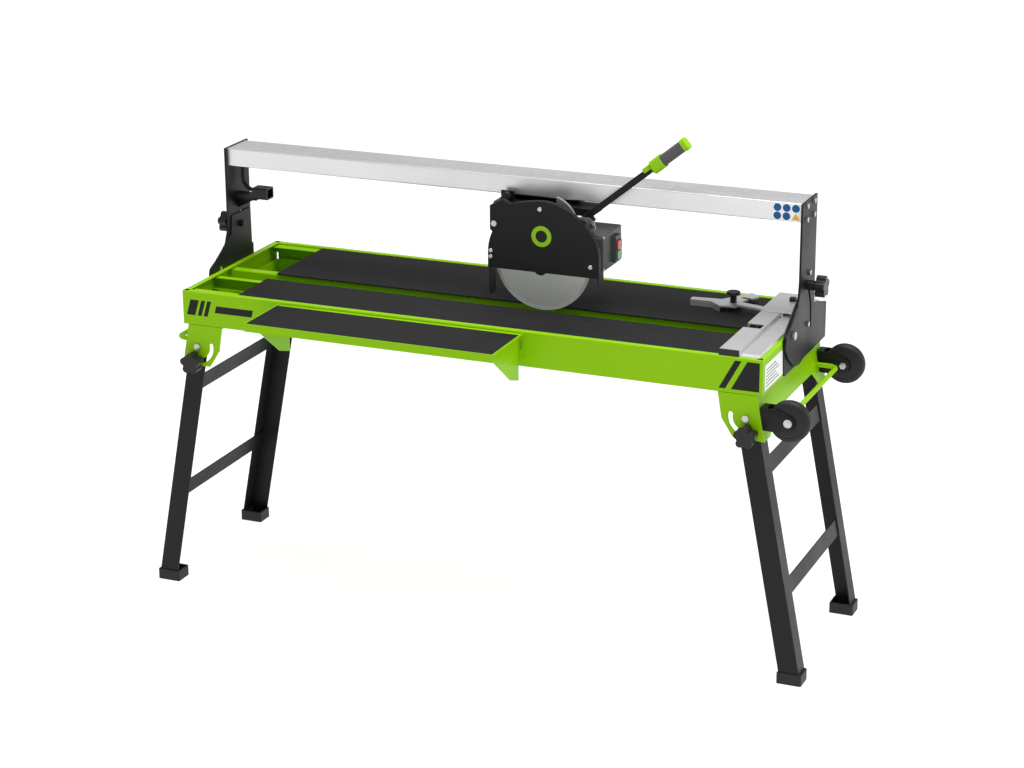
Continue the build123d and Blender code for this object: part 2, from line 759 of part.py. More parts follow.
def guard_box_outline(shrink=0.0):
    """Side view of the box round the blade: a circle with an ear at the hinge."""
    ear = shape([(10, 996), (10, 1024), (46, 1028), (96, 1036), (32, 962)])
    face = Pos(arbor_x, arbor_z) * Circle(guard_box_radius) + ear
    face -= Pos(arbor_x, guard_bottom - 100) * Rectangle(400, 200)
    return offset(face, amount=-shrink) if shrink else face


def guard_back():
    """Box round the blade behind the guard's front plate, open in front and below."""
    front = guard_front + guard_sheet
    part = plate("y", front, guard_back_y, guard_box_outline())
    part -= plate("y", front - 1, guard_back_y - guard_sheet, guard_box_outline(guard_sheet))
    part -= block((-10, 300), (front - 1, guard_back_y - guard_sheet), (guard_bottom - 1, guard_bottom + 4))
    part -= block((40, 260), (-100, 0), (guard_bottom - 1, guard_bottom + 18))
    part -= block((-10, 6), (front - 1, guard_back_y - guard_sheet + 0.5), (guard_bottom - 1, guard_bottom + 15))
    for spot in guard_bolt_spots():
        part -= rod("y", front - 1, front + 12, spot, 3.5)
    part -= rod("y", -100, 0, (arbor_x, arbor_z), shaft_radius + 8)
    return part - rod("y", -100, 0, (head_pivot_x, head_pivot_z), 6.0 + running)


def head_screws():
    """Pan-head screws of the guard, the handle clamp and the switch box."""
    screws = []
    for spot in guard_bolt_spots():
        screw = rod("y", guard_front - 3.5, guard_front, spot, 6.0)
        screw = fillet(screw.edges().group_by(Axis.Y)[0], 2.0)
        screws.append(screw + rod("y", guard_front - 1, guard_front + 10, spot, 3.0))
    for spot in switch_screw_spots():
        x = switch_right()
        screws.append(rod("x", x, x + 2.5, spot, 3.5))
    for spot in clamp_screw_spots():
        screws.append(rod("y", guard_back_y + 0.3, guard_back_y + clamp_recess, spot, 4.5))
    return screws


def splash_flaps():
    """Rubber flaps at the guard's ends that stop the spray."""
    y = (guard_front + guard_sheet + 1, guard_back_y - guard_sheet - 1)
    left = block((guard_sheet, guard_sheet + 3), y, (824, guard_bottom + 14))
    left = chamfer(left.edges().filter_by(Axis.X).group_by(Axis.Z)[0], 6)
    right = block((285, 288), y, (guard_bottom - 14, guard_bottom + 14))
    return [left, right]


def head_casting():
    """Aluminium arm that carries motor, guard and handle, and turns on the head's hinge."""
    y0, y1 = guard_back_y, casting_back
    pivot = (head_pivot_x, head_pivot_z)
    outline = Pos(*pivot) * Circle(16) + Pos(arbor_x, arbor_z) * Circle(motor_radius + 4)
    outline += shape([(14, 1023), (4, 1000), (90, 866), (190, 866), (264, 1004), (260, 1022), (247, 1031), (226, 1031)])
    lobe = Pos(140, 1000) * Circle(80) - Pos(60, 1000) * Rectangle(208, 400)
    outline += lobe - Pos(140, 900) * Rectangle(300, 200)
    part = plate("y", y0, y1, outline)
    part -= rod("y", y0 - 1, y1 + 1, pivot, 6.0 + running)
    part -= block((226, 270), (y0 - 1, y0 + clamp_recess), (1002, 1040))
    return part - rod("y", y0 - 1, y1 + 1, (arbor_x, arbor_z), shaft_radius + 6)


def motor_housing():
    """Finned aluminium motor body."""
    spot = (arbor_x, arbor_z)
    end = motor_back - fan_cover_length
    part = rod("y", casting_back, end, spot, motor_radius)
    part -= rod("y", casting_back + 10, end + 1, spot, motor_radius - motor_wall)
    part -= rod("y", casting_back - 1, casting_back + 11, spot, bearing_outer)
    fins = 20
    for index in range(fins):
        angle = radians(index * 360 / fins)
        x = arbor_x + (motor_radius + 1) * cos(angle)
        z = arbor_z + (motor_radius + 1) * sin(angle)
        part -= rod("y", casting_back + 12, end - 6, (x, z), 2.5)
    return part


bearing_outer = 17.0


def bearings():
    spot = (arbor_x, arbor_z)
    parts = []
    for start in (casting_back + 0.2, motor_back - fan_cover_length - 10):
        ring = rod("y", start, start + 9.5, spot, bearing_outer)
        parts.append(ring - rod("y", start - 1, start + 11, spot, shaft_radius + running))
    return parts


def fan_cover():
    """Black plastic fan cover with its inner bearing bridge."""
    spot = (arbor_x, arbor_z)
    start = motor_back - fan_cover_length
    part = rod("y", start, motor_back, spot, motor_radius)
    part = fillet(part.edges().group_by(Axis.Y)[-1], 8)
    part -= rod("y", start - 1, motor_back - 3, spot, motor_radius - motor_wall)
    for ring in range(1, 4):
        count = 6 * ring
        for index in range(count):
            angle = radians(index * 360 / count)
            reach = ring * 14.0
            hole = (arbor_x + reach * cos(angle), arbor_z + reach * sin(angle))
            part -= rod("y", motor_back - 4, motor_back + 1, hole, 3.5)
    bridge = rod("y", start, start + 3, spot, motor_radius - motor_wall)
    part += bridge
    collar = rod("y", start - 10, start, spot, bearing_outer + 3) - rod("y", start - 11, start, spot, bearing_outer)
    part += collar
    return part - rod("y", start - 1, start + 4, spot, shaft_radius + 1)


def spindle():
    """Shaft with the rotor pressed on, the fan at its back and the blade seat at its front."""
    spot = (arbor_x, arbor_z)
    back = motor_back - 8
    part = rod("y", cut_y - 20, back, spot, shaft_radius)
    part += rod("y", casting_back + 14, motor_back - fan_cover_length - 16, spot, 38)
    part += rod("y", back - 16, back - 4, spot, 50)
    return part


def blade():
    """Diamond blade with a slotless rim."""
    half = blade_thickness / 2
    spot = (arbor_x, arbor_z)
    rim = rod("y", cut_y - half, cut_y + half, spot, blade_radius)
    core = rod("y", cut_y - half - 1, cut_y + half + 1, spot, blade_radius - 8)
    thin = rod("y", cut_y - half + 0.2, cut_y + half - 0.2, spot, blade_radius - 7)
    disc = rim - core + thin
    return disc - rod("y", cut_y - 5, cut_y + 5, spot, shaft_radius)


def blade_flanges():
    """Inner and outer clamping flanges and the nut."""
    spot = (arbor_x, arbor_z)
    half = blade_thickness / 2 - 0.2
    inner = rod("y", cut_y + half, cut_y + half + 6, spot, flange_radius)
    outer = rod("y", cut_y - half - 5, cut_y - half, spot, flange_radius)
    nut = hexagon("y", cut_y - half - 12, cut_y - half - 5, spot, 14)
    bore = rod("y", cut_y - 30, cut_y + 30, spot, shaft_radius)
    return [inner - bore, outer - bore, nut - bore]


# ---- handle ---------------------------------------------------------------------------------------
handle_foot = (228.0, 1024.0)
tongue_at = 204.0          # the ferrule's tongue on the bar, its body and the grip, from the handle's foot
ferrule_at = 226.0
grip_at = 260.0
cap_length = 12.0


def along_handle(part):
    """Handle coordinates, with X along the bar from its foot, to the head."""
    return Pos(handle_foot[0], handle_y, handle_foot[1]) * Rot(0, -handle_angle, 0) * part


def handle_bar():
    bar = block((-6, handle_length - cap_length), (-bar_width / 2, bar_width / 2), (-bar_height / 2, bar_height / 2))
    bar = fillet(bar.edges().filter_by(Axis.X), 3.5)
    lug = Pos(10, 0, -6) * block((-16, 16), (casting_back - handle_y, bar_width / 2), (-14, 6))
    part = along_handle(bar) + along_handle(fillet(lug.edges().filter_by(Axis.Y), 5))
    return part


def clamp_screw_spots():
    return [(237, 1021), (254, 1014)]


def handle_grip():
    outer = block((grip_at, handle_length - cap_length), (-12, 12), (-14, 14))
    outer = fillet(outer.edges().filter_by(Axis.X), 10)
    part = along_handle(outer)
    return part - handle_bar()


def handle_collars():
    """Coloured ferrule under the grip, with a tongue along the bar, and the cap at the grip's end."""
    ferrule = fillet(block((ferrule_at, grip_at), (-15, 15), (-17, 17)).edges().filter_by(Axis.X), 9)
    ferrule = chamfer(ferrule.edges().group_by(Axis.X)[0], 5)
    ferrule += fillet(block((tongue_at, ferrule_at + 2), (-7, 7), (0, 13)).edges().filter_by(Axis.X), 4)
    ends = (handle_length - cap_length, handle_length)
    cap = fillet(block(ends, (-13.5, 13.5), (-15.5, 15.5)).edges().filter_by(Axis.X), 10)
    return [along_handle(ferrule) - handle_bar(), along_handle(cap)]


# ---- switch ---------------------------------------------------------------------------------------
switch_bottom = 897.0


def switch_right():
    return arbor_x + motor_radius + 4 + switch_length


def switch_screw_spots():
    y0 = casting_back
    spots = [(y0 + 6, switch_bottom + 6), (y0 + switch_depth - 6, switch_bottom + 6)]
    return spots + [(y, switch_bottom + switch_height - 6) for y, _ in spots]


def switch_box():
    """Terminal and switch box on the motor's side, with the frame round its buttons."""
    right = switch_right()
    y = (casting_back, casting_back + switch_depth)
    z = (switch_bottom, switch_bottom + switch_height)
    body = block((right - switch_length, right), y, z)
    body = fillet(body.edges().filter_by(Axis.X), 12)
    body -= block((right - switch_length + 3, right - 3), (y[0] + 3, y[1] - 3), (z[0] + 3, z[1] - 3))
    frame = block((right - 1, right + 12), button_y(), button_z(-6, 12))
    frame = fillet(frame.edges().filter_by(Axis.X), 3)
    body += frame
    for low, high in button_rows():
        body -= block((right - 5, right + 13), (button_y()[0] + 4, button_y()[1] - 4), (low, high))
    neck = block((arbor_x + motor_radius - 8, right - switch_length), (y[0] + 20, y[0] + 44), (905, 935))
    return body + (neck - rod("y", y[0], y[1], (arbor_x, arbor_z), motor_radius))


def button_y():
    return (casting_back + 62, casting_back + 98)


def button_z(low_extra=0.0, high_extra=0.0):
    return (switch_bottom + 16 + low_extra, switch_bottom + 64 + high_extra)


def button_rows():
    low, high = button_z()
    middle = (low + high) / 2
    return [(low, middle - 1), (middle + 1, high)]


def button(row):
    right = switch_right()
    gap = 0.4
    low, high = button_rows()[row]
    y0, y1 = button_y()
    cap = block((right + 2, right + 16), (y0 + 4 + gap, y1 - 4 - gap), (low + gap, high - gap))
    return fillet(cap.edges().filter_by(Axis.X), 2)


# ---- fence and angle stop -------------------------------------------------------------------------
def fence():
    """Aluminium fence extrusion on the table's right end, cut through where the blade passes."""
    x1 = half_length - fence_inset
    x0 = x1 - fence_width
    low, high = table_top, table_top + fence_height
    groove = x0 + fence_bar
    part = block((x0, groove), (-half_width + 7, fence_back), (low, high))
    part += block((groove, groove + fence_groove), (-half_width + 7, fence_back), (low, low + 4))
    part += block((groove + fence_groove, x1), (-half_width + 7, fence_back), (low, low + 9))
    for wall in (6.0, 24.0):
        part -= block((x0 + wall, x0 + wall + 16), (-half_width, fence_back + 1), (low + 3, high - 3))
    return part - block((x0 - 1, groove - 6), (cut_y - notch_half, cut_y + notch_half), (low + 3, high + 1))


def fence_caps():
    """Black end cap of the fence and the sacrificial insert in the blade's path."""
    x1 = half_length - fence_inset
    x0 = x1 - fence_width
    low, high = table_top, table_top + fence_height
    cap = block((x0, x0 + fence_bar), (-half_width + 3, -half_width + 7), (low, high))
    insert = block((x0, x0 + fence_bar - 6), (cut_y - notch_half, cut_y + notch_half), (low + 3, high - 8))
    return [cap, insert]


slider_z = (table_top + fence_height + side_play, table_top + fence_height + side_play + 5.0)


def fence_slider():
    """Plate that slides on the fence and carries the angle stop on its tongue."""
    x1 = half_length - fence_inset
    x0 = x1 - fence_width
    y = (slider_y - 70, slider_y + 82)
    part = block((x0, x1 - 6), y, slider_z)
    groove = x0 + fence_bar
    key = block((groove + 1, groove + fence_groove - 1), y, (table_top + 5, slider_z[0] + 1))
    tongue = shape([(x0 + 2, y[0]), (x0 + 2, y[0] + 22), (stop_pivot_x, stop_pivot_y + 13),
                    (stop_pivot_x - 12, stop_pivot_y), (stop_pivot_x, stop_pivot_y - 13)], 4)
    part += key + plate("z", *slider_z, tongue)
    part -= rod("z", slider_z[0] - 1, slider_z[1] + 1, (stop_pivot_x, stop_pivot_y), bolt_radius)
    return part


def slider_knob():
    """Black clamp screw of the slider."""
    spot = (half_length - fence_inset - fence_width + fence_bar + fence_groove / 2, slider_y + 22)
    top = slider_z[1]
    return fillet(rod("z", top + 0.4, top + 9, spot, 9).edges(), 1.5)


def angle_stop():
    """Swinging stop: a long arm with an upright face and a short back arm with a curved slot."""
    top = slider_z[0] - side_play
    low = top - 4
    px, py = stop_pivot_x, stop_pivot_y
    points = [(px + 14, py - 14), (px - 30, py - 20), (px - 60, py + 6), (px - 112, py + 4)]
    points += [(px - 114, py + 26), (px - 40, py + 34), (px - 14, py + 70), (px + 12, py + 112)]
    points += [(px + 40, py + 84), (px + 14, py + 40)]
    part = plate("z", low, top, shape(points, 5))
    part -= plate("z", low - 1, top + 1, arc_slot((px, py), 62, 52, 84, 6))
    face = shape([(px - 30, py - 20), (px - 60, py + 6), (px - 112, py + 4), (px - 112, py + 8),
                  (px - 58, py + 10), (px - 28, py - 16)])
    part += plate("z", mat_top + 0.6, top, face)
    return part - rod("z", low - 1, top + 1, (px, py), bolt_radius + running)


def stop_knob():
    """Thumb screw that clamps the angle stop."""
    spot = (stop_pivot_x, stop_pivot_y)
    top = slider_z[1]
    cap = fillet(rod("z", top + 20, top + 28, spot, 17).edges(), 3)
    part = cap + rod("z", top + 0.4, top + 21, spot, 8)
    return part + rod("z", slider_z[0] - side_play - 3, top + 1, spot, bolt_radius - running)


# ---- side table -----------------------------------------------------------------------------------
def side_table():
    """Side table panel with its rim, gussets and hooks, one folded and welded sheet part."""
    back = -half_width - side_gap
    top = table_top - 1
    floor = (mat_top - mat_thickness - sheet, mat_top - mat_thickness)
    x = (side_left, side_right)
    part = block(x, (side_front, back), floor)
    part += block(x, (side_front, side_front + sheet), (top - side_lip, top))
    part += block(x, (back - sheet, back), (top - side_lip, top))
    for end in (side_left, side_right - sheet):
        part += block((end, end + sheet), (side_front, back), (floor[0], top))
    for right_edge in (side_right, side_left + 2 * gusset_inset + hook_width):
        part += gusset(right_edge, back, floor[0])
    return part


def gusset(right_edge, back, top):
    """Triangular bracket under the side table, with the hook that drops into the front plate's pocket."""
    x = right_edge - gusset_inset
    low = top - gusset_height
    points = [(back, top), (side_front + 8, top), (side_front + 8, top - 8), (back - 58, low + 18), (back, low)]
    web = plate("x", x - sheet, x, shape(points))
    flange = block((x - hook_width, x), (back - sheet, back), (table_top - 44, top))
    hook = block((x - hook_width, x), (back - sheet, back), (table_top - 44 - hook_length + 12, table_top - 40))
    cut = block((x - hook_width - 6, x + 6), (back - sheet - 5, back + 1), (low - 1, table_top - 42))
    return (web - cut) + flange + hook


def side_mat():
    low = mat_top - mat_thickness
    back = -half_width - side_gap
    edge = sheet + mat_gap
    return block((side_left + edge, side_right - edge), (side_front + edge, back - 20), (low, mat_top))


# ---- writing --------------------------------------------------------------------------------------
def write(name, part):
    """Write one named sub-part, moved into the machine's own frame."""
    solids = part if isinstance(part, (list, tuple)) else [part]
    pieces = [solid for piece in solids for solid in piece.solids()]
    moved = [Pos(0, -ORIGIN_Y, 0) * piece for piece in pieces]
    export_step(moved[0] if len(moved) == 1 else Compound(children=moved), f"parts/{name}.step")


def lock_knob(front, right):
    """One of the four knobs that clamp a leg in its bracket."""
    centre = (pivot_x + arc_radius * sin(splay), pivot_z - arc_radius * cos(splay))
    stud = bracket_sheet + side_play + leg_sheet + 10
    part = star_knob("y", -half_width - side_play, -1, centre, stud, knob_reach - side_play - 6)
    part = part if front else flipped_y(part)
    return part if right else flipped_x(part)


def tilt_knob(right):
    face = arm_x + arm_plate + side_play
    part = star_knob("x", face, 1, tilt_stud(), arm_plate + tilt_plate + 12, collar=tilt_knob_boss)
    return part if right else flipped_x(part)


def build():
    """Every sub-part by name."""
    right_frame = leg_frame_right()
    feet = feet_right()
    bar = carry_bar()
    return {
        "front_plate": front_plate(),
        "back_plate": back_plate(),
        "end_plates": end_plates(),
        "slot_rails": slot_rails(),
        "table_panels": table_panels(),
        "table_mats": table_mats(),
        "water_tray": water_tray(),
        "drain_plug": drain_plug(),
        "leg_carriers": leg_carriers(),
        "pivot_bolts": pivot_bolts(),
        "carry_bars": [bar, flipped_x(bar)],
        "wheel_brackets": wheel_brackets(),
        "tilt_brackets": tilt_brackets(),
        "fence": fence(),
        "fence_caps": fence_caps(),
        "leg_frame_right": right_frame,
        "leg_frame_left": [flipped_x(part) for part in right_frame],
        "feet_right": feet,
        "feet_left": [flipped_x(part) for part in feet],
        "lock_knob_front_right": lock_knob(True, True),
        "lock_knob_front_left": lock_knob(True, False),
        "lock_knob_back_right": lock_knob(False, True),
        "lock_knob_back_left": lock_knob(False, False),
        "wheel_front": wheel(-1),
        "wheel_back": wheel(1),
        "side_table": side_table(),
        "side_mat": side_mat(),
        "fence_slider": fence_slider(),
        "slider_knob": slider_knob(),
        "angle_stop": angle_stop(),
        "stop_knob": stop_knob(),
        "beam": beam(),
        "arms": [arm_left(), arm()],
        "arm_bolts": arm_bolts(),
        "inlet_box": inlet_box(),
        "inlet_cable": inlet_cable(),
        "tilt_knob_left": tilt_knob(False),
        "tilt_knob_right": tilt_knob(True),
        "carriage": carriage(),
        "hinge_pin": hinge_pin(),
        "rollers_left": rollers(roller_spots[0]),
        "rollers_right": rollers(roller_spots[1]),
        "depth_knob": depth_knob(),
        "guard_cover": guard_cover(),
        "guard_back": guard_back(),
        "head_screws": head_screws(),
        "splash_flaps": splash_flaps(),
        "head_casting": head_casting(),
        "motor_housing": motor_housing(),
        "fan_cover": fan_cover(),
        "bearings": bearings(),
        "spindle": spindle(),
        "blade": blade(),
        "blade_flanges": blade_flanges(),
        "handle_bar": handle_bar(),
        "handle_grip": handle_grip(),
        "handle_collars": handle_collars(),
        "switch_box": switch_box(),
        "stop_button": button(1),
        "start_button": button(0),
    }


if __name__ == "__main__":
    for name, part in build().items():
        write(name, part)
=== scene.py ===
"""A bridge tile cutter on folding legs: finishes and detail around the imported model."""

import json
import math

import bmesh
import bpy
from bpy.props import FloatProperty, FloatVectorProperty, IntProperty, PointerProperty
from mathutils import Matrix, Vector


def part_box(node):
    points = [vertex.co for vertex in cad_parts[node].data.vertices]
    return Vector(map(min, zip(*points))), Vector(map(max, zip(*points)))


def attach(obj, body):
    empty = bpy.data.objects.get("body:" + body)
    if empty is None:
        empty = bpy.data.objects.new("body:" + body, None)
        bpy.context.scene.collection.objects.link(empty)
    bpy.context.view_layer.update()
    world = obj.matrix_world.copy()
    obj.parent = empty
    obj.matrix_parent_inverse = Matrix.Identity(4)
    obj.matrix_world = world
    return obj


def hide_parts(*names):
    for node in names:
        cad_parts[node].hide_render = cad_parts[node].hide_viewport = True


bl_info = {
    "name": "Tile cutter",
    "version": (1, 0, 0),
    "blender": (4, 5, 0),
    "location": "View3D > Sidebar > Tile cutter",
    "description": "Finishes and detail pieces for a bridge tile cutter",
    "category": "Add Mesh",
}

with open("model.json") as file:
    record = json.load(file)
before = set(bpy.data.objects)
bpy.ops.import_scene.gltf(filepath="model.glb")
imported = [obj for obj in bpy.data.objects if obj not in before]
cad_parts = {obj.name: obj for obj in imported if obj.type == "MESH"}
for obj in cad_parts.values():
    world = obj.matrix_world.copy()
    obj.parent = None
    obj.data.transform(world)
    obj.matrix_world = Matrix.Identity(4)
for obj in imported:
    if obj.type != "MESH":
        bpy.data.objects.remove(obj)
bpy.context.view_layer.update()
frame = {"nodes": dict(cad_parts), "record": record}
mm = 0.001

CAMERA_LENS = 89.42                                  # millimetres on a 36 mm wide sensor
CAMERA_SPOT = (2.39198, -5.47611, 2.61297)
CAMERA_HEADING, CAMERA_DIP, CAMERA_ROLL = 23.05, 18.68, -0.34    # degrees
LAMPS_AIM_AT = (0, 0, 0.7)
SIDE_LAMP_SHARE = 0.3                                # of the large lamp's power
FLOOR_SIZE = 40
FRONT_SHEET = 2 * mm                                 # from the end plates to the front plate's face
SLOT_HALF = 25 * mm                                  # bare strip on each side of the blade
FORK_GAP = 1 * mm                                    # from a wheel's side to its fork


# ---- shared shader groups -------------------------------------------------------------------------
def group_tree(name, inputs, outputs):
    """An empty shader group with named sockets; returns it with its two end nodes."""
    tree = bpy.data.node_groups.new(name, "ShaderNodeTree")
    for label, kind, default in inputs:
        socket = tree.interface.new_socket(label, in_out="INPUT", socket_type=kind)
        socket.default_value = default
    for label, kind in outputs:
        tree.interface.new_socket(label, in_out="OUTPUT", socket_type=kind)
    return tree, tree.nodes.new("NodeGroupInput"), tree.nodes.new("NodeGroupOutput")


def noise_on(tree, scale, detail=3.0, stretch=None):
    """Noise on object coordinates, drawn out along one axis where stretch is given."""
    place = tree.nodes.new("ShaderNodeTexCoord")
    noise = tree.nodes.new("ShaderNodeTexNoise")
    noise.inputs["Detail"].default_value = detail
    if isinstance(scale, float):
        noise.inputs["Scale"].default_value = scale
    else:
        tree.links.new(scale, noise.inputs["Scale"])
    source = place.outputs["Object"]
    if stretch:
        mapping = tree.nodes.new("ShaderNodeMapping")
        mapping.inputs["Scale"].default_value = stretch
        tree.links.new(source, mapping.inputs["Vector"])
        source = mapping.outputs["Vector"]
    tree.links.new(source, noise.inputs["Vector"])
    return noise.outputs["Fac"]


def math_node(tree, operation, first, second, clamp=False):
    """One sum or product of two numbers or sockets."""
    node = tree.nodes.new("ShaderNodeMath")
    node.operation = operation
    node.use_clamp = clamp
    for socket, value in zip(node.inputs, (first, second)):
        if isinstance(value, (int, float)):
            socket.default_value = value
        else:
            tree.links.new(value, socket)
    return node.outputs[0]


def spread(tree, mask, low, high, start=0.0, end=1.0):
    """A mask moved from start..end to low..high."""
    node = tree.nodes.new("ShaderNodeMapRange")
    values = (mask, start, end, low, high)
    for label, value in zip(("Value", "From Min", "From Max", "To Min", "To Max"), values):
        if isinstance(value, (int, float)):
            node.inputs[label].default_value = value
        else:
            tree.links.new(value, node.inputs[label])
    return node.outputs["Result"]


def shade(tree, colour, factor):
    """A colour multiplied by a factor that changes over the surface."""
    node = tree.nodes.new("ShaderNodeVectorMath")
    node.operation = "SCALE"
    tree.links.new(colour, node.inputs[0])
    tree.links.new(factor, node.inputs["Scale"])
    return node.outputs["Vector"]


def blended(tree, factor, first, second):
    """One colour laid over another by a mask."""
    node = tree.nodes.new("ShaderNodeMix")
    node.data_type = "RGBA"
    tree.links.new(factor, node.inputs["Factor"])
    for socket, value in ((node.inputs[6], first), (node.inputs[7], second)):
        if isinstance(value, tuple):
            socket.default_value = value
        else:
            tree.links.new(value, socket)
    return node.outputs[2]


SURFACE = [("Colour", "NodeSocketColor"), ("Roughness", "NodeSocketFloat"), ("Height", "NodeSocketFloat")]


def powder_coat_group():
    """Sprayed powder: orange peel, faint mottling and a little dust that lies in patches."""
    inputs = [("Colour", "NodeSocketColor", (0.5, 0.5, 0.5, 1)), ("Peel", "NodeSocketFloat", 900.0),
              ("Mottle", "NodeSocketFloat", 0.06), ("Gloss", "NodeSocketFloat", 0.3),
              ("Dust", "NodeSocketFloat", 0.05)]
    tree, start, end = group_tree("Powder coat", inputs, SURFACE)
    peel = noise_on(tree, start.outputs["Peel"], 2.0)
    cloud = noise_on(tree, 7.0, 4.0)
    half = math_node(tree, "MULTIPLY", start.outputs["Mottle"], 0.5)
    low = math_node(tree, "SUBTRACT", 1.0, half)
    high = math_node(tree, "ADD", 1.0, half)
    base = shade(tree, start.outputs["Colour"], spread(tree, cloud, low, high, 0.3, 0.7))
    patch = spread(tree, noise_on(tree, 23.0, 6.0), 0.0, start.outputs["Dust"], 0.55, 0.8)
    tree.links.new(blended(tree, patch, base, (0.55, 0.53, 0.5, 1)), end.inputs["Colour"])
    rough = math_node(tree, "ADD", start.outputs["Gloss"], spread(tree, cloud, -0.05, 0.07, 0.3, 0.7))
    tree.links.new(math_node(tree, "ADD", rough, patch, True), end.inputs["Roughness"])
    tree.links.new(peel, end.inputs["Height"])
    return tree


def drawn_metal_group():
    """Extruded or rolled metal: fine lines along X, with a soft change of tone."""
    inputs = [("Colour", "NodeSocketColor", (0.7, 0.7, 0.7, 1)), ("Lines", "NodeSocketFloat", 40.0),
              ("Contrast", "NodeSocketFloat", 0.12), ("Gloss", "NodeSocketFloat", 0.35)]
    tree, start, end = group_tree("Drawn metal", inputs, SURFACE)
    lines = noise_on(tree, start.outputs["Lines"], 5.0, (0.06, 18.0, 18.0))
    cloud = noise_on(tree, 5.0, 3.0)
    low = math_node(tree, "SUBTRACT", 1.0, start.outputs["Contrast"])
    tone = spread(tree, lines, low, 1.04, 0.3, 0.7)
    tree.links.new(shade(tree, start.outputs["Colour"], tone), end.inputs["Colour"])
    rough = math_node(tree, "ADD", start.outputs["Gloss"], spread(tree, lines, -0.08, 0.1, 0.3, 0.7))
    rough = math_node(tree, "ADD", rough, spread(tree, cloud, -0.04, 0.05, 0.3, 0.7), True)
    tree.links.new(rough, end.inputs["Roughness"])
    tree.links.new(lines, end.inputs["Height"])
    return tree


def moulded_group():
    """Moulded plastic or rubber: a pebbled skin with duller, slightly paler high spots."""
    inputs = [("Colour", "NodeSocketColor", (0.03, 0.03, 0.03, 1)), ("Pebble", "NodeSocketFloat", 700.0),
              ("Bloom", "NodeSocketFloat", 0.04), ("Gloss", "NodeSocketFloat", 0.45)]
    tree, start, end = group_tree("Moulded skin", inputs, SURFACE)
    place = tree.nodes.new("ShaderNodeTexCoord")
    cells = tree.nodes.new("ShaderNodeTexVoronoi")
    cells.feature = "SMOOTH_F1"
    tree.links.new(place.outputs["Object"], cells.inputs["Vector"])
    tree.links.new(start.outputs["Pebble"], cells.inputs["Scale"])
    cloud = noise_on(tree, 12.0, 5.0)
    bloom = spread(tree, cloud, 0.0, start.outputs["Bloom"], 0.42, 0.75)
    tree.links.new(blended(tree, bloom, start.outputs["Colour"], (0.5, 0.5, 0.5, 1)), end.inputs["Colour"])
    rough = math_node(tree, "ADD", start.outputs["Gloss"], spread(tree, cloud, -0.06, 0.08, 0.3, 0.7))
    tree.links.new(math_node(tree, "ADD", rough, 0.0, True), end.inputs["Roughness"])
    tree.links.new(cells.outputs["Distance"], end.inputs["Height"])
    return tree


def turned_disc_group():
    """Ground disc: rings about an axis along Y through Centre, and a darker gritty rim."""
    inputs = [("Colour", "NodeSocketColor", (0.6, 0.6, 0.6, 1)), ("Centre", "NodeSocketVector", (0, 0, 0)),
              ("Rim", "NodeSocketFloat", 0.117), ("Gloss", "NodeSocketFloat", 0.3)]
    tree, start, end = group_tree("Ground disc", inputs, SURFACE)
    place = tree.nodes.new("ShaderNodeTexCoord")
    offset = tree.nodes.new("ShaderNodeVectorMath")
    offset.operation = "SUBTRACT"
    tree.links.new(place.outputs["Object"], offset.inputs[0])
    tree.links.new(start.outputs["Centre"], offset.inputs[1])
    flat = tree.nodes.new("ShaderNodeVectorMath")
    flat.operation = "MULTIPLY"
    flat.inputs[1].default_value = (1, 0, 1)
    tree.links.new(offset.outputs["Vector"], flat.inputs[0])
    reach = tree.nodes.new("ShaderNodeVectorMath")
    reach.operation = "LENGTH"
    tree.links.new(flat.outputs["Vector"], reach.inputs[0])
    rings = tree.nodes.new("ShaderNodeTexNoise")
    rings.noise_dimensions = "1D"
    rings.inputs["Scale"].default_value = 1400.0
    rings.inputs["Detail"].default_value = 4.0
    tree.links.new(reach.outputs["Value"], rings.inputs["W"])
    rim = math_node(tree, "GREATER_THAN", reach.outputs["Value"], start.outputs["Rim"])
    grit = noise_on(tree, 1800.0, 2.0)
    tone = spread(tree, rings.outputs["Fac"], 0.9, 1.05, 0.3, 0.7)
    base = shade(tree, start.outputs["Colour"], tone)
    dark = shade(tree, base, spread(tree, grit, 0.82, 0.97, 0.3, 0.7))
    tree.links.new(blended(tree, rim, base, dark), end.inputs["Colour"])
    turned = spread(tree, rings.outputs["Fac"], -0.06, 0.1, 0.3, 0.7)
    rough = math_node(tree, "ADD", start.outputs["Gloss"], turned)
    rough = math_node(tree, "ADD", rough, math_node(tree, "MULTIPLY", rim, 0.35), True)
    tree.links.new(rough, end.inputs["Roughness"])
    lift = math_node(tree, "MULTIPLY", math_node(tree, "MULTIPLY", rim, grit), 6.0)
    tree.links.new(math_node(tree, "ADD", rings.outputs["Fac"], lift), end.inputs["Height"])
    return tree


groups = {}
finishes = {}


def group_named(name):
    """A shared group, built the first time that it is asked for."""
    makers = {"Powder coat": powder_coat_group, "Drawn metal": drawn_metal_group,
              "Moulded skin": moulded_group, "Ground disc": turned_disc_group}
    if name not in groups:
        groups[name] = makers[name]()
    return groups[name]


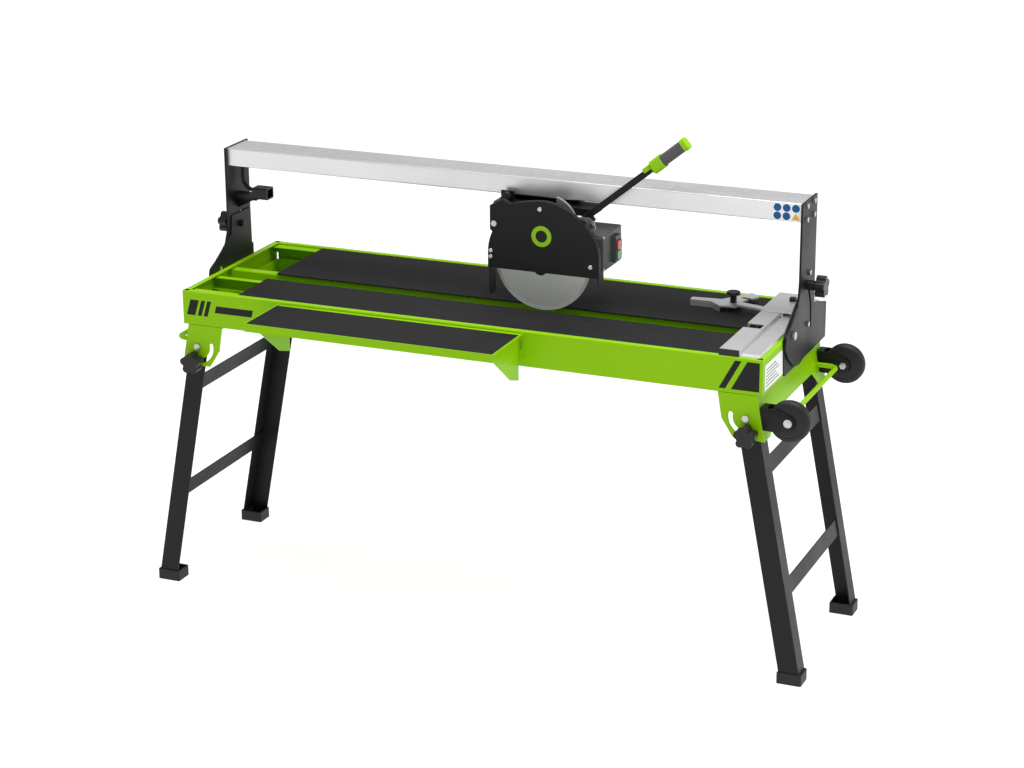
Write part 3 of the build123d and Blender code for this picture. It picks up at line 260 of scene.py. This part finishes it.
def finish(name, group, values, bump, metallic=0.0, coat=0.0, specular=0.5):
    """A material whose colour, roughness and relief come from one shared group."""
    material = bpy.data.materials.new(name)
    material.use_nodes = True
    tree = material.node_tree
    shader = tree.nodes["Principled BSDF"]
    shader.inputs["Metallic"].default_value = metallic
    shader.inputs["Coat Weight"].default_value = coat
    shader.inputs["Specular IOR Level"].default_value = specular
    source = tree.nodes.new("ShaderNodeGroup")
    source.node_tree = group_named(group)
    for label, value in values.items():
        source.inputs[label].default_value = (*value, 1) if label == "Colour" else value
    tree.links.new(source.outputs["Colour"], shader.inputs["Base Color"])
    tree.links.new(source.outputs["Roughness"], shader.inputs["Roughness"])
    relief = tree.nodes.new("ShaderNodeBump")
    relief.inputs["Strength"].default_value = bump[0]
    relief.inputs["Distance"].default_value = bump[1]
    tree.links.new(source.outputs["Height"], relief.inputs["Height"])
    tree.links.new(relief.outputs["Normal"], shader.inputs["Normal"])
    finishes[name] = material
    return material


# ---- building pieces ------------------------------------------------------------------------------
def middle(node):
    """The middle of a part's box."""
    low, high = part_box(node)
    return (low + high) / 2


def piece(name, mesh, body, material, replaced=(), smooth=40):
    """Turns a bmesh into a finished object that rides on a body."""
    bmesh.ops.remove_doubles(mesh, verts=mesh.verts, dist=1e-6)
    bmesh.ops.recalc_face_normals(mesh, faces=mesh.faces)
    data = bpy.data.meshes.new(name)
    for face in mesh.faces:
        face.smooth = True
    mesh.to_mesh(data)
    mesh.free()
    data.set_sharp_from_angle(angle=math.radians(smooth))
    item = bpy.data.objects.new(name, data)
    bpy.context.scene.collection.objects.link(item)
    data.materials.append(finishes[material])
    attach(item, body)
    if replaced:
        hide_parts(*replaced)
    return item


def bevelled(mesh, width, segments=2, angle=25):
    """Rounds every edge that is sharper than angle."""
    sharp = [e for e in mesh.edges if len(e.link_faces) == 2 and e.calc_face_angle(0) > math.radians(angle)]
    bmesh.ops.bevel(mesh, geom=sharp, offset=width, offset_type="OFFSET", segments=segments, profile=0.5,
                    affect="EDGES", material=-1, clamp_overlap=True)


def box_mesh(low, high, mesh=None):
    """A box between two corners, in metres."""
    mesh = mesh or bmesh.new()
    size = Vector(high) - Vector(low)
    place = Matrix.Translation((Vector(low) + Vector(high)) / 2) @ Matrix.Diagonal((*size, 1))
    bmesh.ops.create_cube(mesh, size=1.0, matrix=place)
    return mesh


def outline_mesh(points, depth, place, mesh=None):
    """A flat outline in a local XY plane, thickened along local Z and put in place."""
    mesh = mesh or bmesh.new()
    face = mesh.faces.new([mesh.verts.new((x, y, 0)) for x, y in points])
    grown = bmesh.ops.extrude_face_region(mesh, geom=[face])
    top = [v for v in grown["geom"] if isinstance(v, bmesh.types.BMVert)]
    bmesh.ops.translate(mesh, verts=top, vec=(0, 0, depth))
    verts = list(face.verts) + top
    bmesh.ops.transform(mesh, matrix=place, verts=verts)
    return mesh


def spun(profile, steps, place, mesh=None):
    """A profile of (radius, height) points spun about local Z and put in place."""
    mesh = mesh or bmesh.new()
    before = set(mesh.verts)
    verts = [mesh.verts.new((r, 0, h)) for r, h in profile]
    edges = [mesh.edges.new(pair) for pair in zip(verts, verts[1:] + verts[:1])]
    bmesh.ops.spin(mesh, geom=verts + edges, cent=(0, 0, 0), axis=(0, 0, 1), dvec=(0, 0, 0),
                   angle=math.tau, steps=steps, use_merge=True, use_normal_flip=False,
                   use_duplicate=False)
    bmesh.ops.transform(mesh, matrix=place, verts=[v for v in mesh.verts if v not in before])
    return mesh


FACING_FRONT = Matrix.Rotation(math.radians(90), 4, "X")        # local Z to -Y, local Y to +Z
FACING_RIGHT = Matrix(((0, 0, 1, 0), (1, 0, 0, 0), (0, 1, 0, 0), (0, 0, 0, 1)))   # local Z to +X


def disc_points(radius, count=40):
    """The corners of a flat disc, as an outline."""
    angles = [math.tau * i / count for i in range(count)]
    return [(radius * math.cos(angle), radius * math.sin(angle)) for angle in angles]


# ---- settings -------------------------------------------------------------------------------------
class TileCutterColours(bpy.types.PropertyGroup):
    lime: FloatVectorProperty(name="Lime", description="Powder coat of the table", subtype="COLOR", size=3,
                              min=0, max=1, default=(0.25, 0.52, 0.001))
    black: FloatVectorProperty(name="Black", description="Powder coat of legs, arms and guard", subtype="COLOR",
                               size=3, min=0, max=1, default=(0.009, 0.009, 0.01))
    aluminium: FloatVectorProperty(name="Aluminium", description="Beam and fence", subtype="COLOR", size=3,
                                   min=0, max=1, default=(0.8, 0.8, 0.81))
    rubber: FloatVectorProperty(name="Rubber", description="Table mats", subtype="COLOR", size=3, min=0, max=1,
                                default=(0.008, 0.008, 0.0085))
    plastic: FloatVectorProperty(name="Plastic", description="Knobs, covers and switch box", subtype="COLOR",
                                 size=3, min=0, max=1, default=(0.009, 0.009, 0.0095))
    blade: FloatVectorProperty(name="Blade", description="Ground steel of the blade", subtype="COLOR", size=3,
                               min=0, max=1, default=(0.8, 0.8, 0.8))


class TileCutterSizes(bpy.types.PropertyGroup):
    rib_pitch: FloatProperty(name="Rib pitch", description="From one mat rib to the next", subtype="DISTANCE",
                             unit="LENGTH", default=0.006, min=0.003, max=0.03)
    rib_depth: FloatProperty(name="Rib depth", description="Depth of the mat's grooves", subtype="DISTANCE",
                             unit="LENGTH", default=0.0004, min=0.0002, max=0.002)
    wheel_steps: IntProperty(name="Wheel steps", description="Steps round each wheel", default=64, min=24,
                             max=128)
    fork_sheet: FloatProperty(name="Fork sheet", description="Thickness of the wheel forks", subtype="DISTANCE",
                              unit="LENGTH", default=0.003, min=0.001, max=0.006)


class TileCutterStage(bpy.types.PropertyGroup):
    floor: FloatVectorProperty(name="Floor", description="Colour of the studio floor", subtype="COLOR", size=3,
                               min=0, max=1, default=(0.35, 0.35, 0.35))
    sky: FloatProperty(name="Sky", description="Strength of the even light", default=0.4, min=0, max=5)
    glow: FloatProperty(name="Floor glow", description="Light that the studio floor gives off", default=0.86, min=0,
                        max=5)
    key: FloatProperty(name="Key", description="Power of the large lamp overhead", subtype="POWER", unit="POWER",
                       default=260.0, min=0, max=5000)


def settings():
    scene = bpy.context.scene
    return scene.tile_cutter_colours, scene.tile_cutter_sizes, scene.tile_cutter_stage


# ---- operators ------------------------------------------------------------------------------------
class TILECUTTER_OT_stage(bpy.types.Operator):
    """Make the floor, the studio lights and the camera"""
    bl_idname = "tilecutter.stage"
    bl_label = "Stage"

    def execute(self, context):
        stage = settings()[2]
        self.camera(context)
        mesh = bmesh.new()
        bmesh.ops.create_grid(mesh, x_segments=1, y_segments=1, size=FLOOR_SIZE)
        data = bpy.data.meshes.new("studio_floor")
        mesh.to_mesh(data)
        mesh.free()
        floor = bpy.data.objects.new("studio_floor", data)
        context.scene.collection.objects.link(floor)
        finish("studio floor", "Moulded skin",
               {"Colour": stage.floor, "Pebble": 60.0, "Bloom": 0.01, "Gloss": 0.85}, (0.02, 0.0005), specular=0.2)
        data.materials.append(finishes["studio floor"])
        shader = finishes["studio floor"].node_tree.nodes["Principled BSDF"]
        shader.inputs["Emission Color"].default_value = (1, 1, 1, 1)
        shader.inputs["Emission Strength"].default_value = stage.glow
        self.sky(context, stage.sky)
        context.scene.view_settings.view_transform = "Standard"
        self.lamp(context, "key", stage.key, 3.5, (0.8, -0.6, 5.2))
        self.lamp(context, "side", stage.key * SIDE_LAMP_SHARE, 3.0, (5.5, 1.0, 2.6))
        return {"FINISHED"}

    def sky(self, context, strength):
        """An even light of one strength in front of a plain white backdrop."""
        world = bpy.data.worlds.new("Studio")
        world.use_nodes = True
        tree = world.node_tree
        light = tree.nodes["Background"]
        light.inputs["Color"].default_value = (1, 1, 1, 1)
        light.inputs["Strength"].default_value = strength
        backdrop = tree.nodes.new("ShaderNodeBackground")
        backdrop.inputs["Color"].default_value = (1, 1, 1, 1)
        backdrop.inputs["Strength"].default_value = 1.0
        path = tree.nodes.new("ShaderNodeLightPath")
        mix = tree.nodes.new("ShaderNodeMixShader")
        tree.links.new(path.outputs["Is Camera Ray"], mix.inputs["Fac"])
        tree.links.new(light.outputs["Background"], mix.inputs[1])
        tree.links.new(backdrop.outputs["Background"], mix.inputs[2])
        tree.links.new(mix.outputs["Shader"], tree.nodes["World Output"].inputs["Surface"])
        context.scene.world = world

    def camera(self, context):
        """The camera, by its place, its heading, its dip and its small roll."""
        data = bpy.data.cameras.new("camera")
        data.lens = CAMERA_LENS
        data.sensor_width = 36.0
        data.clip_end = 200
        camera = bpy.data.objects.new("camera", data)
        context.scene.collection.objects.link(camera)
        heading, dip, roll = (math.radians(a) for a in (CAMERA_HEADING, CAMERA_DIP, CAMERA_ROLL))
        turn = Matrix.Rotation(heading, 3, "Z") @ Matrix.Rotation(math.radians(90) - dip, 3, "X")
        turn = turn @ Matrix.Rotation(roll, 3, "Z")
        camera.matrix_world = Matrix.Translation(CAMERA_SPOT) @ turn.to_4x4()
        context.scene.camera = camera

    def lamp(self, context, name, power, size, spot):
        data = bpy.data.lights.new(name, "AREA")
        data.energy = power
        data.size = size
        lamp = bpy.data.objects.new(name, data)
        lamp.location = spot
        aim = Vector(LAMPS_AIM_AT) - Vector(spot)
        lamp.rotation_euler = aim.to_track_quat("-Z", "Y").to_euler()
        context.scene.collection.objects.link(lamp)


class TILECUTTER_OT_finishes(bpy.types.Operator):
    """Make the finishes and put them on the machine's own parts"""
    bl_idname = "tilecutter.finishes"
    bl_label = "Finishes"

    def execute(self, context):
        c = settings()[0]
        coat, metal, skin, disc = "Powder coat", "Drawn metal", "Moulded skin", "Ground disc"
        finish("lime_paint", coat, {"Colour": c.lime, "Peel": 700.0, "Mottle": 0.05, "Gloss": 0.34, "Dust": 0.004},
               (0.05, 0.0004), specular=0.12)
        finish("black_paint", coat, {"Colour": c.black, "Peel": 1400.0, "Mottle": 0.16, "Gloss": 0.42, "Dust": 0.004},
               (0.18, 0.0004), specular=0.2)
        finish("aluminium", metal, {"Colour": c.aluminium, "Lines": 45.0, "Contrast": 0.05, "Gloss": 0.36},
               (0.06, 0.0003), metallic=0.8)
        finish("cast_aluminium", coat, {"Colour": (0.5, 0.5, 0.51), "Peel": 1600.0, "Mottle": 0.18, "Gloss": 0.42,
                                        "Dust": 0.06}, (0.3, 0.0005), metallic=0.8)
        finish("zinc", coat, {"Colour": (0.5, 0.5, 0.49), "Peel": 900.0, "Mottle": 0.2, "Gloss": 0.22, "Dust": 0.03},
               (0.08, 0.0003), metallic=0.9)
        finish("steel", metal, {"Colour": (0.5, 0.5, 0.49), "Lines": 60.0, "Contrast": 0.15, "Gloss": 0.3},
               (0.06, 0.0003), metallic=1.0)
        hub = middle("blade")
        finish("blade_steel", disc, {"Colour": c.blade, "Centre": hub, "Rim": 0.117, "Gloss": 0.42},
               (0.1, 0.0002), metallic=0.6)
        finish("rubber_mat", skin, {"Colour": c.rubber, "Pebble": 1500.0, "Bloom": 0.01, "Gloss": 0.6},
               (0.25, 0.0004), specular=0.25)
        finish("rubber", skin, {"Colour": (0.012, 0.012, 0.013), "Pebble": 1100.0, "Bloom": 0.01, "Gloss": 0.5},
               (0.2, 0.0004), specular=0.3)
        finish("black_plastic", skin, {"Colour": c.plastic, "Pebble": 900.0, "Bloom": 0.008, "Gloss": 0.38},
               (0.12, 0.0003), specular=0.35)
        finish("box_plastic", skin, {"Colour": (0.075, 0.078, 0.079), "Pebble": 900.0, "Bloom": 0.01, "Gloss": 0.42},
               (0.12, 0.0003), specular=0.35)
        finish("lime_plastic", skin, {"Colour": c.lime, "Pebble": 800.0, "Bloom": 0.004, "Gloss": 0.35},
               (0.08, 0.0003), specular=0.25)
        finish("grip_rubber", skin, {"Colour": (0.085, 0.08, 0.085), "Pebble": 1300.0, "Bloom": 0.02, "Gloss": 0.55},
               (0.25, 0.0004), specular=0.3)
        finish("red_plastic", skin, {"Colour": (0.62, 0.04, 0.02), "Pebble": 600.0, "Bloom": 0.005, "Gloss": 0.25},
               (0.03, 0.0002), coat=0.3)
        finish("green_plastic", skin, {"Colour": (0.09, 0.33, 0.05), "Pebble": 600.0, "Bloom": 0.005, "Gloss": 0.25},
               (0.03, 0.0002), coat=0.3)
        finish("cable", skin, {"Colour": (0.01, 0.01, 0.011), "Pebble": 500.0, "Bloom": 0.008, "Gloss": 0.45},
               (0.05, 0.0003), specular=0.3)
        finish("label_white", coat, {"Colour": (0.85, 0.86, 0.86), "Peel": 300.0, "Mottle": 0.03, "Gloss": 0.3,
                                     "Dust": 0.01}, (0.02, 0.0001))
        finish("decal_black", coat, {"Colour": (0.008, 0.008, 0.009), "Peel": 300.0, "Mottle": 0.1, "Gloss": 0.3,
                                     "Dust": 0.004}, (0.02, 0.0001), specular=0.2)
        finish("decal_blue", coat, {"Colour": (0.01, 0.09, 0.26), "Peel": 300.0, "Mottle": 0.05, "Gloss": 0.3,
                                    "Dust": 0.01}, (0.02, 0.0001), specular=0.2)
        finish("decal_yellow", coat, {"Colour": (0.75, 0.42, 0.03), "Peel": 300.0, "Mottle": 0.05, "Gloss": 0.3,
                                      "Dust": 0.01}, (0.02, 0.0001), specular=0.2)
        for entry in frame["record"]["subparts"]:
            node = frame["nodes"][entry["node"]]
            for place in node.material_slots:
                place.material = finishes[entry["material_slot"]]
        for node, look in (("carriage", "black_paint"), ("switch_box", "box_plastic")):
            for place in frame["nodes"][node].material_slots:
                place.material = finishes[look]
        return {"FINISHED"}


class TILECUTTER_OT_mats(bpy.types.Operator):
    """Make the ribbed mats of the table and the side table"""
    bl_idname = "tilecutter.mats"
    bl_label = "Ribbed mats"

    def execute(self, context):
        low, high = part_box("table_mats")
        cut = middle("blade").y
        mesh = self.ribbed((low.x, low.y), (high.x, cut - SLOT_HALF), low.z, high.z)
        self.ribbed((low.x, cut + SLOT_HALF), (high.x, high.y), low.z, high.z, mesh)
        piece("ribbed_mats", mesh, "table", "rubber_mat", ("table_mats",), 30)
        low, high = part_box("side_mat")
        mesh = self.ribbed((low.x, low.y), (high.x, high.y), low.z, high.z)
        piece("ribbed_side_mat", mesh, "side_table", "rubber_mat", ("side_mat",), 30)
        return {"FINISHED"}

    def ribbed(self, near, far, low, high, mesh=None):
        """A mat with ribs along X: its end face is drawn once and carried along."""
        sizes = settings()[1]
        mesh = mesh or bmesh.new()
        count = max(1, round((far[1] - near[1]) / sizes.rib_pitch))
        step = (far[1] - near[1]) / count
        floor = high - sizes.rib_depth
        points = [(near[1], low)]
        for index in range(count):
            y = near[1] + index * step
            points += [(y, floor), (y + step * 0.12, high), (y + step * 0.62, high), (y + step * 0.74, floor)]
        points += [(far[1], floor), (far[1], low)]
        face = mesh.faces.new([mesh.verts.new((near[0], y, z)) for y, z in points])
        grown = bmesh.ops.extrude_face_region(mesh, geom=[face])
        end = [v for v in grown["geom"] if isinstance(v, bmesh.types.BMVert)]
        bmesh.ops.translate(mesh, verts=end, vec=(far[0] - near[0], 0, 0))
        return mesh


class TILECUTTER_OT_wheels(bpy.types.Operator):
    """Make the two rounded transport wheels"""
    bl_idname = "tilecutter.wheels"
    bl_label = "Wheels"

    def execute(self, context):
        steps = settings()[1].wheel_steps
        for node in ("wheel_front", "wheel_back"):
            low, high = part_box(node)
            radius, width = (high.z - low.z) / 2, high.y - low.y
            half = width / 2
            profile = [(5.1 * mm, -half), (12 * mm, -half), (13 * mm, -half + 3 * mm), (17 * mm, -half + 3 * mm)]
            profile += [(18.5 * mm, -half + 0.5 * mm), (radius * 0.72, -half + 0.5 * mm)]
            profile += [(radius * 0.75, -half + 1.2 * mm), (radius * 0.78, -half + 0.6 * mm)]
            profile += [(radius * 0.9, -half + 2.2 * mm), (radius * 0.97, -half + 5.6 * mm)]
            profile += [(radius, -half + 10 * mm), (radius, -1.2 * mm), (radius - 0.8 * mm, 0)]
            profile += [(r, -h) for r, h in reversed(profile[:-1])]
            place = Matrix.Translation(middle(node)) @ FACING_FRONT
            mesh = spun(profile, steps, place)
            piece(node + "_tyre", mesh, node, "rubber", (node,), 35)
        return {"FINISHED"}


class TILECUTTER_OT_forks(bpy.types.Operator):
    """Make the pressed steel fork of each transport wheel"""
    bl_idname = "tilecutter.forks"
    bl_label = "Wheel forks"

    def execute(self, context):
        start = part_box("wheel_brackets")[0].x
        sheet = settings()[1].fork_sheet
        mesh = bmesh.new()
        for node in ("wheel_front", "wheel_back"):
            low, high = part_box(node)
            axle = middle(node)
            root, waist, tip = start, axle.x - 30 * mm, axle.x + 15 * mm
            outline = [(root, axle.z - 24 * mm), (waist, axle.z - 26 * mm), (tip, axle.z - 15 * mm),
                       (tip, axle.z + 15 * mm), (waist, axle.z + 30 * mm), (root, axle.z + 30 * mm)]
            for y in (low.y - FORK_GAP, high.y + FORK_GAP + sheet):
                self.cheek(mesh, outline, y, sheet)
            near, far = low.y - FORK_GAP, high.y + FORK_GAP
            box_mesh((root, near, axle.z - 22 * mm), (root + sheet, far, axle.z + 28 * mm), mesh)
            box_mesh((root, near, axle.z + 27 * mm), (waist - 22 * mm, far, axle.z + 30 * mm), mesh)
        piece("wheel_forks", mesh, "table", "black_paint", ("wheel_brackets",), 35)
        return {"FINISHED"}

    def cheek(self, mesh, outline, y, sheet):
        """One side of a fork, rounded round the axle, with its edges broken."""
        part = outline_mesh(outline, sheet, Matrix.Translation((0, y, 0)) @ FACING_FRONT)
        tip = max(v.co.x for v in part.verts)
        nose = [e for e in part.edges if all(v.co.x > tip - 1 * mm for v in e.verts) and
                abs(e.verts[0].co.y - e.verts[1].co.y) > sheet / 2]
        bmesh.ops.bevel(part, geom=nose, offset=12 * mm, offset_type="OFFSET", segments=6, profile=0.5,
                        affect="EDGES", material=-1, clamp_overlap=True)
        bevelled(part, 0.6 * mm, 2, 40)
        data = bpy.data.meshes.new("cheek")
        part.to_mesh(data)
        part.free()
        mesh.from_mesh(data)
        bpy.data.meshes.remove(data)


class TILECUTTER_OT_switch_lid(bpy.types.Operator):
    """Make the rounded lid of the switch box"""
    bl_idname = "tilecutter.switch_lid"
    bl_label = "Switch lid"

    def execute(self, context):
        low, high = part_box("switch_box")
        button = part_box("stop_button")[0].x
        face, inset = button - 2 * mm, 2.5 * mm
        place = Matrix.Translation((face, 0, 0)) @ FACING_RIGHT
        y0, y1, z0, z1 = low.y + inset, high.y - inset, low.z + inset, high.z - inset
        mesh = outline_mesh([(y0, z0), (y1, z0), (y1, z1), (y0, z1)], 1.6 * mm, place)
        corners = [e for e in mesh.edges if abs(e.verts[0].co.x - e.verts[1].co.x) > 1 * mm]
        bmesh.ops.bevel(mesh, geom=corners, offset=10 * mm, offset_type="OFFSET", segments=6, profile=0.5,
                        affect="EDGES", material=-1, clamp_overlap=True)
        rim = [e for e in mesh.edges
               if all(v.co.x > face + 1 * mm for v in e.verts) and e.calc_face_angle(0) > 1]
        bmesh.ops.bevel(mesh, geom=rim, offset=1 * mm, offset_type="OFFSET", segments=3, profile=0.5,
                        affect="EDGES", material=-1, clamp_overlap=True)
        piece("switch_lid", mesh, "head", "box_plastic", (), 35)
        return {"FINISHED"}


class TILECUTTER_OT_decals(bpy.types.Operator):
    """Lay plain stripes, discs and blank labels where the machine carries stickers"""
    bl_idname = "tilecutter.decals"
    bl_label = "Stickers"

    def execute(self, context):
        self.front_stripes()
        self.side_stripes()
        self.rating_plate()
        self.beam_discs()
        self.guard_badge()
        return {"FINISHED"}

    def on_front(self, points, mesh=None, proud=0.25 * mm):
        """An outline in X and Z, in millimetres, laid on the front plate."""
        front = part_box("end_plates")[0].y - FRONT_SHEET
        place = Matrix.Translation((0, front, 0)) @ FACING_FRONT
        return outline_mesh([(x * mm, z * mm) for x, z in points], proud, place, mesh)

    def front_stripes(self):
        mesh = None
        for x, width in ((-750, 24), (-719, 11), (-702, 11)):
            mesh = self.on_front([(x, 738), (x + width, 738), (x + width + 12, 778), (x + 12, 778)], mesh)
        mesh = self.on_front([(-670, 750), (-566, 750), (-561, 768), (-665, 768)], mesh)
        piece("front_stripes", mesh, "table", "decal_black")

    def side_stripes(self):
        mesh = self.on_front([(654, 722), (670, 722), (708, 792), (692, 792)])
        self.on_front([(684, 722), (752, 722), (752, 792), (722, 792)], mesh)
        piece("corner_stripes", mesh, "table", "decal_black")

    def rating_plate(self):
        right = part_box("end_plates")[1].x
        place = Matrix.Translation((right, 0, 0)) @ FACING_RIGHT
        plate = [(-0.158, 0.720), (-0.012, 0.720), (-0.012, 0.782), (-0.158, 0.782)]
        mesh = outline_mesh(plate, 0.25 * mm, place)
        piece("blank_label", mesh, "table", "label_white")
        mesh = None
        place = Matrix.Translation((right + 0.25 * mm, 0, 0)) @ FACING_RIGHT
        for index in range(6):
            z = 0.728 + index * 0.008
            end = -0.05 - 0.012 * (index % 3)
            line = [(-0.15, z), (end, z), (end, z + 0.0022), (-0.15, z + 0.0022)]
            mesh = outline_mesh(line, 0.1 * mm, place, mesh)
        piece("blank_label_rules", mesh, "table", "decal_black")

    def beam_discs(self):
        low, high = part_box("beam")
        place = Matrix.Translation((0, low.y, 0)) @ FACING_FRONT
        x0, x1 = high.x - 0.072, high.x - 0.004
        z0, z1 = low.z + 0.002, high.z - 0.002
        mesh = outline_mesh([(x0, z0), (x1, z0), (x1, z1), (x0, z1)], 0.2 * mm, place)
        piece("beam_label", mesh, "gantry", "label_white")
        mesh = None
        place = Matrix.Translation((0, low.y - 0.2 * mm, 0)) @ FACING_FRONT
        spots = [(x0 + 0.0115 + 0.0225 * i, z1 - 0.011) for i in range(3)]
        spots += [(x0 + 0.0115 + 0.0225 * i, z0 + 0.011) for i in range(2)]
        for x, z in spots:
            ring = [(x + px, z + pz) for px, pz in disc_points(0.0095, 28)]
            mesh = outline_mesh(ring, 0.1 * mm, place, mesh)
        piece("beam_label_discs", mesh, "gantry", "decal_blue")
        x, z = x0 + 0.0565, z0 + 0.003
        mesh = outline_mesh([(x - 0.0105, z), (x + 0.0105, z), (x, z + 0.0165)], 0.1 * mm, place)
        piece("beam_label_triangle", mesh, "gantry", "decal_yellow")

    def guard_badge(self):
        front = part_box("guard_cover")[0].y
        x, z = 141 * mm, 986 * mm
        place = Matrix.Translation((x, front, z)) @ FACING_FRONT
        mesh = outline_mesh(disc_points(0.026), 0.3 * mm, place)
        piece("badge", mesh, "head", "lime_plastic")
        place = Matrix.Translation((x, front - 0.3 * mm, z)) @ FACING_FRONT
        mesh = outline_mesh(disc_points(0.015), 0.1 * mm, place)
        piece("badge_middle", mesh, "head", "decal_black")


class TILECUTTER_PT_panel(bpy.types.Panel):
    """Everything that makes the machine's looks"""
    bl_label = "Tile cutter"
    bl_idname = "TILECUTTER_PT_panel"
    bl_space_type = "VIEW_3D"
    bl_region_type = "UI"
    bl_category = "Tile cutter"

    def draw(self, context):
        for group in settings():
            column = self.layout.column()
            for label in group.bl_rna.properties.keys():
                if label not in ("rna_type", "name"):
                    column.prop(group, label)
        for operator in OPERATORS:
            self.layout.operator(operator.bl_idname)


OPERATORS = [TILECUTTER_OT_stage, TILECUTTER_OT_finishes, TILECUTTER_OT_mats, TILECUTTER_OT_wheels,
             TILECUTTER_OT_forks, TILECUTTER_OT_switch_lid, TILECUTTER_OT_decals]
CLASSES = [TileCutterColours, TileCutterSizes, TileCutterStage, *OPERATORS, TILECUTTER_PT_panel]


def register():
    for item in CLASSES:
        bpy.utils.register_class(item)
    bpy.types.Scene.tile_cutter_colours = PointerProperty(type=TileCutterColours)
    bpy.types.Scene.tile_cutter_sizes = PointerProperty(type=TileCutterSizes)
    bpy.types.Scene.tile_cutter_stage = PointerProperty(type=TileCutterStage)


def unregister():
    del bpy.types.Scene.tile_cutter_stage
    del bpy.types.Scene.tile_cutter_sizes
    del bpy.types.Scene.tile_cutter_colours
    for item in reversed(CLASSES):
        bpy.utils.unregister_class(item)


def main():
    """Make every piece in turn."""
    register()
    for operator in OPERATORS:
        family, name = operator.bl_idname.split(".")
        getattr(getattr(bpy.ops, family), name)()
    bpy.context.view_layer.update()


if __name__ == "__main__":
    main()
